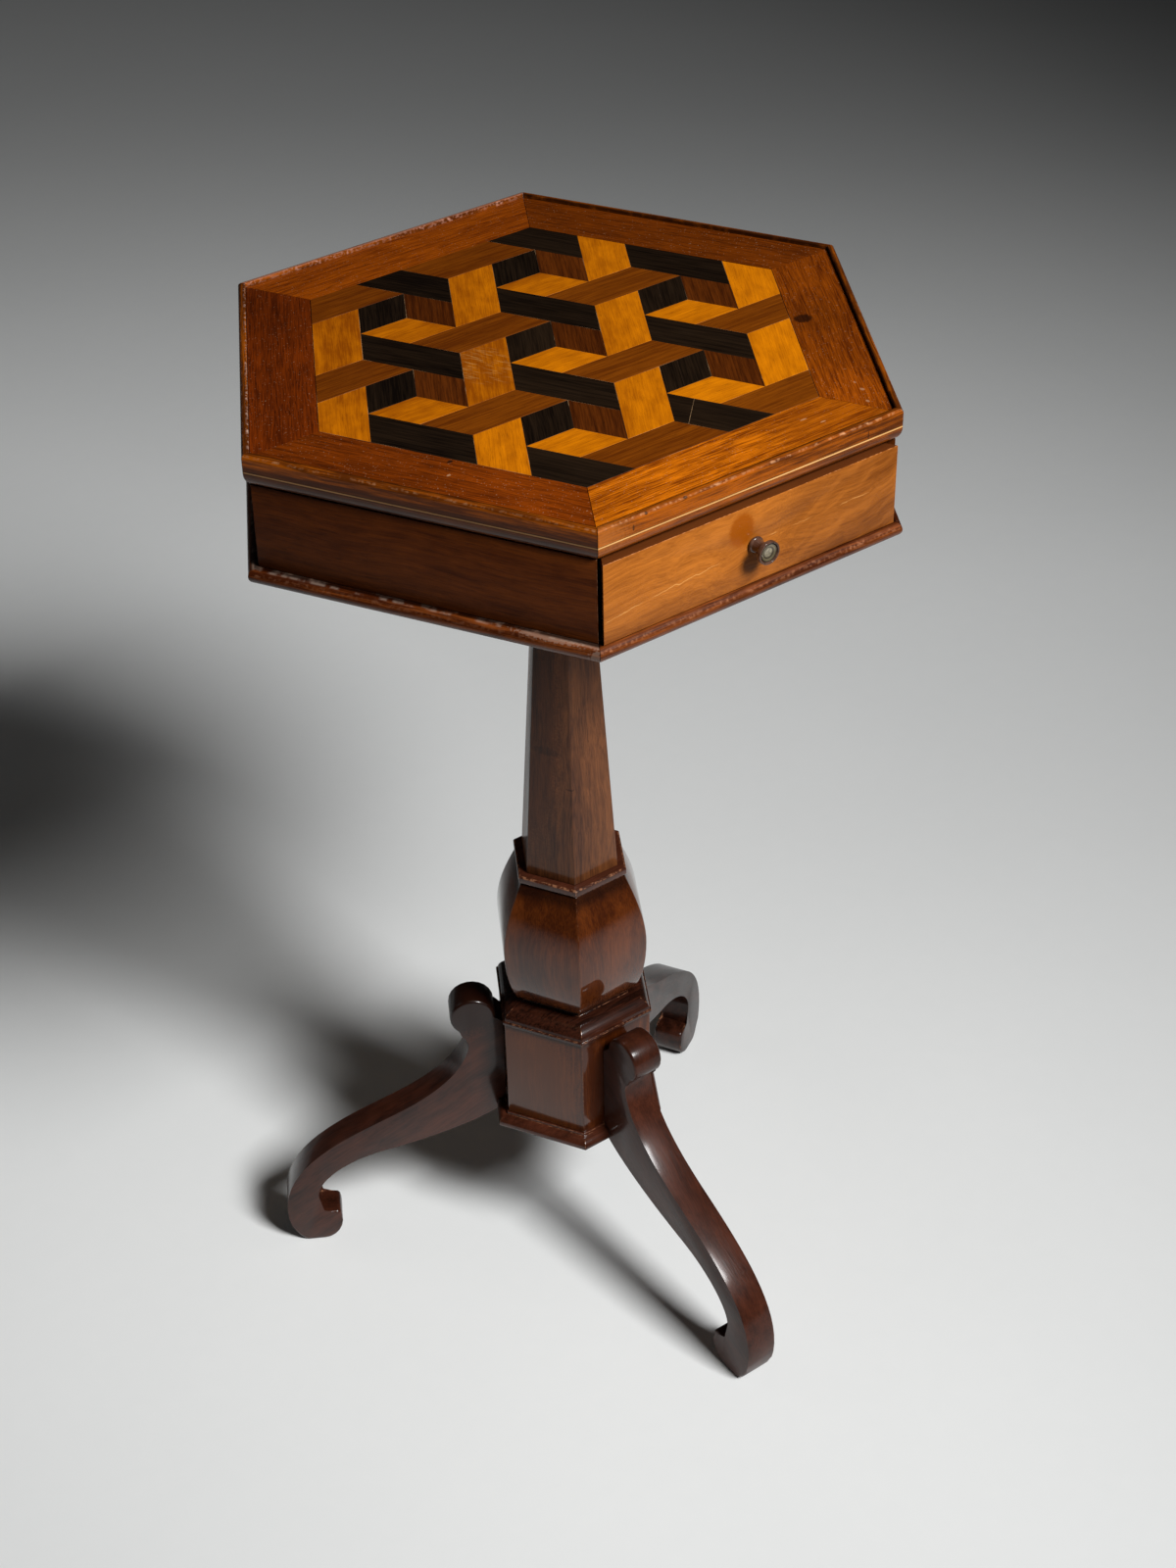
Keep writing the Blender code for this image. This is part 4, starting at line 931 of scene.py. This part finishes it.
def add_tile(bm, polygon, heading, tone, high, rng):
    """One tile with eased arrises, its own tone, and its own place in the grain."""
    tone_layer = bm.verts.layers.float.get("tone") or bm.verts.layers.float.new("tone")
    grain_layer = bm.loops.layers.uv.get("grain") or bm.loops.layers.uv.new("grain")
    outline = [plan(p) for p in polygon]
    if area(polygon) < 0:
        outline.reverse()
    outline = shrunk(outline, TILE_GAP)
    shift = Vector((rng.uniform(-GRAIN_SPREAD, GRAIN_SPREAD), rng.uniform(-GRAIN_SPREAD, GRAIN_SPREAD)))
    turn = Matrix.Rotation(-math.radians(heading), 2)
    lift = rng.uniform(-TILE_LIFT, 0.0)
    rings = []
    for inset, z in ((0.0, high - TILE_DEPTH), (0.0, high - TILE_EASE), (TILE_EASE, high)):
        rings.append([bm.verts.new((p.x, p.y + AXIS_Y, z + lift)) for p in shrunk(outline, inset)])
    for face in add_prism(bm, rings):
        for loop in face.loops:
            loop.vert[tone_layer] = tone
            loop[grain_layer].uv = turn @ loop.vert.co.xy + shift


def make_tiles():
    """Tiles of each wood, laid with a hairline joint over a bed of old glue."""
    low, high = heights("parquetry_panel")
    rng = random.Random(GRAIN_SEED)
    meshes = {}
    for kind, polygon, heading, tone in field_tiles():
        if kind not in meshes:
            meshes[kind] = bmesh.new()
        add_tile(meshes[kind], polygon, heading, tone, high, rng)
    pieces = {}
    for kind, bm in meshes.items():
        tones, figure = TILE_LOOKS[kind]
        marks = [SCUFF] if kind == "satinwood" else []
        material = wood(f"tile_{kind}", "tile", tones, figure, WAXED, marks=marks)
        pieces[f"tiles_{kind}"] = (bm, material)
    bed = bmesh.new()
    corners = [plan([FIELD_EDGES * step for step in corner]) for corner in FIELD_CORNERS]
    add_prism(bed, [[bed.verts.new((p.x, p.y + AXIS_Y, z)) for p in corners] for z in (low, high - BED_DROP)])
    pieces["tile_bed"] = (bed, glue_bed())
    for name, (bm, material) in pieces.items():
        stand_for(to_object(name, bm, material), "table", "parquetry_woods", "parquetry_panel")


def glue_bed():
    """Old glue in the joints, pale where it has been filled and dark where wax has gathered."""
    n = Nodes("glue_bed")
    share = n.patches(n.object_space(), *GLUE_PATCHES)
    n.shade({"Base Color": n.mix(share, *GLUE), "Roughness": n.math("MULTIPLY_ADD", share, 0.2, 0.6)})
    return n.material


# The box


# Base moulding: wear colour and tone at the front and on the other sides
BASE_FRONT = (RUBBED_MOULDING, 0.34)
BASE_SIDES = (STAND_WEAR, 0.16)
BASE_FIGURE = Figure(0.40, 0.45, 0.40, 0.0, 0.5, 0.004)
BASE_DENTS = 7
# A rubbed line round its nose: strength, place and width as shares of the round, and the darkening on top,
# partly dirt and partly painted shade against the frieze
BASE_RUB = 0.4
BASE_RUB_PLACE = 0.68
BASE_RUB_WIDTH = 0.09
BASE_DIRT_AND_SHADE = [-0.5, -0.9, -0.9]
FRIEZE_FIGURE = Figure(0.55, 0.35, 0.30, 0.30, 0.45, 0.008)
FRIEZE_ARRIS = 0.0003


def base_section():
    """Outline of the half-round base moulding, and how bare each of its points has been rubbed, with its top
    ledge darkened, partly dirt and partly painted shade.
    """
    low, high = heights("base_moulding_front")
    half = (high - low) / 2
    steps = 2 * ARC_STEPS
    nose = arc((BASE_APOTHEM - half, low + half), (half, half), -90, 180, steps)
    inner = BASE_APOTHEM - BASE_DEPTH
    shares = [(i / steps - BASE_RUB_PLACE) / BASE_RUB_WIDTH for i in range(steps - 1)]
    bare = [BASE_RUB * math.exp(-share ** 2) for share in shares]
    return [(inner, low)] + nose + [(inner, high)], [0.0] + bare + BASE_DIRT_AND_SHADE


def base_dust():
    """Dust along the base moulding's top, thicker at the left."""
    high = heights("base_moulding_front")[1]
    return [towards(high - 0.0008, high - 0.0002, DUST, 0.28, 0.5),
            blot((-0.1240, -0.1495, high), (0.0200, 0.0260, 0.0018), DUST, 0.24, 0.9),
            blot((-0.1095, -0.1745, 0.6405), (0.0050, 0.0050, 0.0050), DUST, 0.22, 1.0)]


def make_box():
    section, bare = base_section()
    for number, name in enumerate(FACES):
        worn, tone = BASE_FRONT if name == "front" else BASE_SIDES
        marks = [] if name == "front" else base_dust()
        space = (along_side(name), SEEDS["base"] + number)
        material = wood(f"base_{name}", space, MOULDING, BASE_FIGURE, MOULDING_POLISH, worn, tone, marks)
        seed = BASE_DENTS + number
        worn_strip(name, f"base_moulding_{name}", section, bare, material, "edge_mahogany", seed)
    for number, name in enumerate(FACES[1:]):
        space = (along_side(name), SEEDS["frieze"] + number)
        material = wood(f"frieze_{name}", space, FRIEZE, FRIEZE_FIGURE, DULL, STAND_WEAR)
        dress(f"frieze_panel_{name}", material, "table", "mahogany", FRIEZE_ARRIS)


# The drawer


DRAWER_FIGURE = Figure(0.70, 0.34, 0.34, 0.12, 0.25, 0.024)
DRAWER_ARRIS = 0.0005
STAIN_TINT = (0.285, 0.064, 0.001)
SHADED_END = (0.72, 0.70, 0.72)
FLAME_TINT = (0.50, 0.160, 0.022)
CRACK_TINT = (0.70, 0.34, 0.10)
DARK_TOP = (0.078, 0.019, 0.0045)
CRACK = ((-0.1043, 0.6598), (-0.0755, 0.6641), (-0.0069, 0.6693), (0.0107, 0.6729), (0.0793, 0.6738),
         (0.0979, 0.6736))
CRACK_WIDTH = 0.0004
KNOB_FIGURE = Figure(0.30, 0.50, 0.40, 0.0, 0.3, 0.001)
KNOB_SMOOTH = 50


def drawer_marks():
    """A stain by the knob, a darker right end with a flame figure, a hairline crack, and a dark top."""
    face = AXIS_Y - DRAWER_FACE
    return (
        blot((-0.0093, face, 0.6835), (0.0105, 0.02, 0.0125), STAIN_TINT, 0.92, 0.15),
        blot((0.080, face, 0.676), (0.075, 0.03, 0.055), SHADED_END, 1.0, 0.25, "MULTIPLY"),
        flame(0.000, 0.050, FLAME_TINT, 0.24),
        crack(CRACK, CRACK_WIDTH, CRACK_TINT, 0.60),
        over(heights("drawer_front")[1], DARK_TOP, 0.90),
    )


def make_drawer():
    space = (along(0.0), SEEDS["drawer"])
    front = wood("drawer_front", space, WALNUT, DRAWER_FIGURE, WAXED, RUBBED_WALNUT, marks=drawer_marks())
    dress("drawer_front", front, "drawer", "walnut", DRAWER_ARRIS)
    space = (along(FRONT_ANGLE), SEEDS["knob"])
    turned = wood("knob", space, ROSEWOOD, KNOB_FIGURE, FRENCH_POLISH)
    obj = to_object("knob_turned", turned_mesh(knob_profile()), turned, KNOB_SMOOTH)
    stand_for(obj, "drawer", "rosewood", "knob")
    obj = to_object("knob_disc_polished", turned_mesh(disc_profile()), pearl(), KNOB_SMOOTH)
    stand_for(obj, "drawer", "pearl", "knob_disc")


def knob_profile():
    """Half section as (radius, distance out): shank, foot bead, neck, spreading head, recess for the disc."""
    root = DRAWER_FACE + GLUE_GAP
    tip = DRAWER_FACE + KNOB_REACH
    head = tip - KNOB_HEAD
    bead = KNOB_FOOT_RADIUS - KNOB_NECK_RADIUS
    neck = (KNOB_NECK_RADIUS, root + KNOB_NECK_OUT)
    brim = (KNOB_RADIUS, head + KNOB_HEAD_BACK)
    rim = (KNOB_RADIUS - KNOB_RIM / 2, tip)
    edge = (KNOB_RADIUS - KNOB_RIM, tip - KNOB_RIM / 4)
    pocket = KNOB_DISC_RADIUS + GLUE_GAP
    floor = tip - KNOB_DISH - KNOB_DISC_THICKNESS
    shank = DRAWER_FRONT_BACK + GLUE_GAP
    points = [(0.0, shank), (KNOB_SHANK_RADIUS, shank), (KNOB_SHANK_RADIUS, root)]
    for i in range(1, BEAD_STEPS):
        angle = math.pi * i / BEAD_STEPS
        points.append((KNOB_NECK_RADIUS + bead * math.sin(angle), root + bead * (1 - math.cos(angle))))
    points.append(neck)
    points += curve(neck, (KNOB_NECK_RADIUS, head), (KNOB_FLARE_RADIUS, head), brim, FLARE_STEPS)
    points += curve(brim, (KNOB_RADIUS, tip), (KNOB_RADIUS, tip), rim, BRIM_STEPS)
    points += curve(rim, (rim[0] - KNOB_RIM_EASE, tip), (edge[0], tip), edge, RIM_STEPS)
    points += [(pocket, tip - KNOB_DISH), (pocket, floor), (0.0, floor)]
    return points


def disc_profile():
    """Half section of the hollowed disc, with a fine turned ring."""
    low = DRAWER_FACE + KNOB_REACH - KNOB_DISH - KNOB_DISC_THICKNESS + GLUE_GAP
    rim = low + KNOB_DISC_THICKNESS
    points = [(0.0, low), (KNOB_DISC_RADIUS, low)]
    for i in range(DISC_STEPS + 1):
        share = 1 - i / DISC_STEPS
        ring = DISC_RING_HEIGHT * math.exp(-((share - DISC_RING) / DISC_RING_WIDTH) ** 2)
        points.append((KNOB_DISC_RADIUS * share, rim - KNOB_DISC_HOLLOW * (1 - share ** 2) + ring))
    return points


def turned_mesh(profile):
    """Turns a (radius, distance out) profile round the knob's axis."""
    height = sum(heights("drawer_front")) / 2
    angles = [math.tau * i / KNOB_SIDES for i in range(KNOB_SIDES)]
    bm = bmesh.new()
    rings = []
    for radius, out in profile:
        y = AXIS_Y - out
        if radius == 0.0:
            rings.append([bm.verts.new((0.0, y, height))])
            continue
        circle = [(radius * math.cos(a), y, height + radius * math.sin(a)) for a in angles]
        rings.append([bm.verts.new(point) for point in circle])
    for near, far in zip(rings, rings[1:]):
        for i in range(KNOB_SIDES):
            j = (i + 1) % KNOB_SIDES
            face = [near[i % len(near)], near[j % len(near)], far[j % len(far)], far[i % len(far)]]
            bm.faces.new(list(dict.fromkeys(face)))
    return bm


# The disc's silver and cream clouds, its darker outer part, and the wax in its ring and round its rim
PEARL = ((0.28, 0.245, 0.18), (0.50, 0.43, 0.29))
PEARL_OUTER = (0.205, 0.165, 0.092)
PEARL_WAX = (0.045, 0.032, 0.020)
PEARL_CLOUDS = 420.0
# Shares of the disc's radius between which the outer part and the rim's wax set in
OUTER_BAND = (0.25, 0.80)
RIM_BAND = (0.86, 0.97)
RING_WAX = (0.0002, 0.0007)


def pearl():
    """Polished shell: clouds under a clear gloss, darker outwards, with old wax in its turned ring."""
    n = Nodes("pearl")
    cloud = n.noise(n.object_space(), PEARL_CLOUDS, 3.0, 1.2)
    low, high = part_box("knob_disc")
    offset = n.vector_math("SUBTRACT", n.object_space(), (low + high) / 2)
    radius = n.measure("LENGTH", n.stretched(offset, (1.0, 0.0, 1.0)))
    colour = n.mix(n.band(cloud, 0.35, 0.65), *PEARL)
    colour = n.mix(n.band(radius, *(share * KNOB_DISC_RADIUS for share in OUTER_BAND)), colour, PEARL_OUTER)
    ring = n.math("ABSOLUTE", n.math("SUBTRACT", radius, DISC_RING * KNOB_DISC_RADIUS))
    rim = n.band(radius, *(share * KNOB_DISC_RADIUS for share in RIM_BAND))
    wax = n.math("MAXIMUM", n.fade(ring, *RING_WAX), rim)
    n.shade({
        "Base Color": n.stain(colour, wax, 0.85, PEARL_WAX),
        "Metallic": 0.55,
        "Roughness": n.math("MULTIPLY_ADD", cloud, 0.12, 0.18),
        "Coat Weight": 0.6,
        "Coat Roughness": 0.08,
    })
    return n.material


# The column, plinth and legs


# Uprights and flat mouldings of the stand: node, tones, tone, and eased arris
UPRIGHT = (("column_shaft", FADED_MAHOGANY, 0.38, 0.0005), ("baluster", MAHOGANY, 0.22, 0.0006),
           ("plinth_block", MAHOGANY, 0.06, 0.0006))
FLAT = (("collar", DARK_MAHOGANY, 0.50, 0.0004), ("plinth_cap", DARK_MAHOGANY, 0.14, 0.0004),
        ("plinth_base", DARK_MAHOGANY, 0.60, 0.0004))
# Weight and roughness of the polish's coat, where it isn't the usual one
STAND_COAT = (0.85, 0.10)
STAND_COATS = {"column_shaft": (0.42, 0.14), "baluster": (1.0, 0.06), "plinth_cap": (0.85, 0.14)}
STAND_FIGURE = Figure(0.40, 0.26, 0.32, 0.16, 0.45, 0.008)
STAND_FIGURES = {"baluster": Figure(0.36, 0.14, 0.22, 0.10, 0.40, 0.008)}
BLEACHED_PLINTH = (0.110, 0.028, 0.004)
# Painted shade: the colour that darkens the shaft's left side
PAINTED_SHAFT_SHADE = (0.50, 0.42, 0.34)
# Sockets and tenons within this distance of the axis keep their arrises
SOCKET_REACH = 0.0165
LEG_FIGURE = Figure(0.30, 0.16, 0.25, 0.34, 0.40, 0.012)
LEG_TONES = {"front": 0.58, "back_right": 0.15, "back_left": 0.46}
LEG_COATS = {"front": 0.30, "back_right": 0.35, "back_left": 0.62}
LEG_ARRIS = 0.0005
LEG_ROOT = 0.05
LEG_SHARP = 60
# Old wax on the legs' upper scrolls
SCROLL_OUT = Vector((0.078, 0.0, 0.0))
SCROLL_HEIGHT = 0.215
SCROLL_SIZE = (0.034, 0.034, 0.034)
SCROLL_DIRT = {"front": 0.25, "back_right": 0.25, "back_left": 0.90}


def stand_marks(node):
    """Darkening by the joints, with painted shade under the collar and at the foot of the baluster, the
    bleached side of the plinth, old wax spots on the shaft, and painted shade down the shaft's left side.
    """
    low, high = heights(node)
    if node == "baluster":
        # Painted shade: the baluster darkens under the collar's overhang and at its foot, where it also
        # stands for a reflection of the dark cap
        return [towards(high - 0.013, high - 0.004, WAX_AND_SHADE, 0.80), towards(low + 0.009, low + 0.003, WAX_AND_SHADE, 0.70)]
    if node == "plinth_block":
        return [blot((-0.055, -0.02, 0.165), (0.03, 0.07, 0.07), BLEACHED_PLINTH, 0.55),
                towards(high - 0.005, high - 0.001, WAX_AND_SHADE, 0.5)]
    if node == "column_shaft":
        return [towards(low + 0.005, low + 0.001, WAX_AND_SHADE, 0.6),
                blot((-0.0235, 0.0032, 0.4365), (0.0090, 0.0120, 0.0040), WAX_AND_SHADE, 0.40, 0.6),
                blot((-0.0165, -0.0134, 0.4105), (0.0040, 0.0040, 0.0010), WAX_AND_SHADE, 0.60, 0.4),
                # Painted shade down the shaft's left side
                blot((-0.0340, 0.0060, 0.4900), (0.022, 0.040, 0.1700), PAINTED_SHAFT_SHADE, 1.0, 0.2, "MULTIPLY")]
    return []


def make_column():
    for turn, pieces, worn in ((upright(), UPRIGHT, DARK_WEAR), (along(0.0), FLAT, STAND_WEAR)):
        for number, (node, tones, tone, arris) in enumerate(pieces):
            coat, blur = STAND_COATS.get(node, STAND_COAT)
            polish = FRENCH_POLISH._replace(coat=coat, coat_roughness=blur)
            figure = STAND_FIGURES.get(node, STAND_FIGURE)
            space = (turn, SEEDS["stand"] + number)
            material = wood(node, space, tones, figure, polish, worn, tone, stand_marks(node))
            dress(node, material, "table", "mahogany", arris, SOCKET_REACH)


def make_legs():
    for number, name in enumerate(LEGS):
        node = f"leg_{name}"
        angle = face_angle(name)
        polish = SATIN_POLISH._replace(coat=LEG_COATS[name])
        scroll = Vector((0.0, AXIS_Y, SCROLL_HEIGHT)) + Matrix.Rotation(angle, 3, "Z") @ SCROLL_OUT
        marks = [blot(scroll, SCROLL_SIZE, WAX_AND_SHADE, SCROLL_DIRT[name], 0.3)]
        space = (down_leg(angle), SEEDS["leg"] + number)
        material = wood(node, space, DARK_MAHOGANY, LEG_FIGURE, polish, STAND_WEAR, LEG_TONES[name], marks)
        dress(node, material, "table", "mahogany", LEG_ARRIS, LEG_ROOT, LEG_SHARP)


CARCASE_FIGURE = Figure(0.40, 0.60, 0.30, 0.0, 0.35, 0.006)


def make_carcase():
    """Bare wood inside and under the box."""
    across = along(0.0)
    deep = along(FRONT_ANGLE)
    pine = {"top_board": across, "box_floor": across, "drawer_bottom": across, "column_bearer": across,
            "drawer_kicker_left": deep, "drawer_kicker_right": deep}
    pine.update({f"glue_block_{name}": upright() for name in FACES[2:]})
    oak = {"drawer_back": across}
    for hand in ("left", "right"):
        oak.update({f"drawer_side_{hand}": deep, f"drawer_guide_{hand}": deep, f"drawer_stop_{hand}": across})
    for nodes, tones in ((pine, PINE), (oak, OAK)):
        for number, (node, turn) in enumerate(nodes.items()):
            paint(node, wood(node, (turn, SEEDS["carcase"] + number), tones, CARCASE_FIGURE, BARE))


# The stage


EYE = Vector((-0.8259, -1.1601, 1.4640))
FORWARD = Vector((0.467575, 0.650786, -0.598206))
ROLL = 1.1756
LENS = 61.86
SENSOR = 36.0
NEAR = 0.01
KEY_PLACE = Vector((0.334, -2.145, 2.594))
KEY_AIM = Vector((-0.175, 0.305, 0.0))
KEY_SIZE = 0.83
KEY_SPREAD = 65.6
KEY_POWER = 18.8
FILL_PLACE = Vector((-1.6, 2.0, 1.7))
FILL_AIM = Vector((0.0, 0.0, 0.45))
FILL_SIZE = 1.2
FILL_POWER = 2.5
ROOM_LIGHT = 0.008
FLOOR_SIZE = 14.0
FLOOR_TONES = ((0.76, 0.775, 0.77), (0.82, 0.83, 0.825))
FLOOR_CLOUDS = 2.2
FLOOR_SPECKS = 60.0
FLOOR_SPECKLED = 0.25
# Painted light on the floor: paler behind the table and darker farther off, standing in for the fall of the
# lamp's light; start and end of each change, and its factor
FLOOR_PAINTED_LIGHT = ((0.42, 1.00, 1.19), (1.20, 2.20, 0.714))


def make_camera():
    camera = bpy.data.objects.new("camera", bpy.data.cameras.new("camera"))
    camera.location = EYE
    camera.rotation_euler = (FORWARD.to_track_quat("-Z", "Y").to_matrix()
                             @ Matrix.Rotation(math.radians(-ROLL), 3, "Z")).to_euler()
    camera.data.sensor_fit = "VERTICAL"
    camera.data.sensor_height = SENSOR
    camera.data.lens = LENS
    camera.data.clip_start = NEAR
    bpy.context.collection.objects.link(camera)
    bpy.context.scene.camera = camera


def floor_paint():
    n = Nodes("floor")
    space = n.object_space()
    speck = n.noise(space, FLOOR_SPECKS)
    cloud = n.noise(space, FLOOR_CLOUDS, 4.0)
    share = n.math("MULTIPLY_ADD", n.math("SUBTRACT", speck, 0.5), FLOOR_SPECKLED, cloud)
    colour = n.mix(share, *FLOOR_TONES)
    away = Vector((FORWARD.x, FORWARD.y, 0.0)).normalized()
    depth = n.measure("DOT_PRODUCT", space, away)
    # Painted light and shade: the floor's colour grows paler, then darker, away from the camera
    for start, full, change in FLOOR_PAINTED_LIGHT:
        colour = n.mix(n.band(depth, start, full), colour, (change,) * 3, "MULTIPLY")
    roughness = n.math("MULTIPLY_ADD", speck, 0.1, 0.6)
    n.shade({"Base Color": colour, "Roughness": roughness, "Specular IOR Level": 0.2})
    return n.material


def make_floor():
    bm = bmesh.new()
    bmesh.ops.create_grid(bm, x_segments=1, y_segments=1, size=FLOOR_SIZE)
    floor = to_object("floor", bm, floor_paint())


def make_lamp(name, place, aim, size, power, spread=180.0):
    lamp = bpy.data.lights.new(name, "AREA")
    lamp.shape = "SQUARE"
    lamp.size = size
    lamp.spread = math.radians(spread)
    lamp.energy = power
    obj = bpy.data.objects.new(name, lamp)
    obj.location = place
    obj.rotation_euler = (aim - place).to_track_quat("-Z", "Y").to_euler()
    bpy.context.collection.objects.link(obj)


def make_light():
    make_lamp("softbox", KEY_PLACE, KEY_AIM, KEY_SIZE, KEY_POWER, KEY_SPREAD)
    make_lamp("fill", FILL_PLACE, FILL_AIM, FILL_SIZE, FILL_POWER)
    world = bpy.data.worlds.new("room")
    bpy.context.scene.world = world
    world.use_nodes = True
    background = world.node_tree.nodes["Background"]
    background.inputs["Color"].default_value = (ROOM_LIGHT, ROOM_LIGHT, ROOM_LIGHT, 1.0)
    background.inputs["Strength"].default_value = 1.0
    bpy.context.scene.view_settings.view_transform = "Standard"


def main():
    make_camera()
    make_floor()
    make_light()
    make_edges()
    make_strings()
    make_borders()
    make_tiles()
    make_box()
    make_drawer()
    make_column()
    make_legs()
    make_carcase()


main()
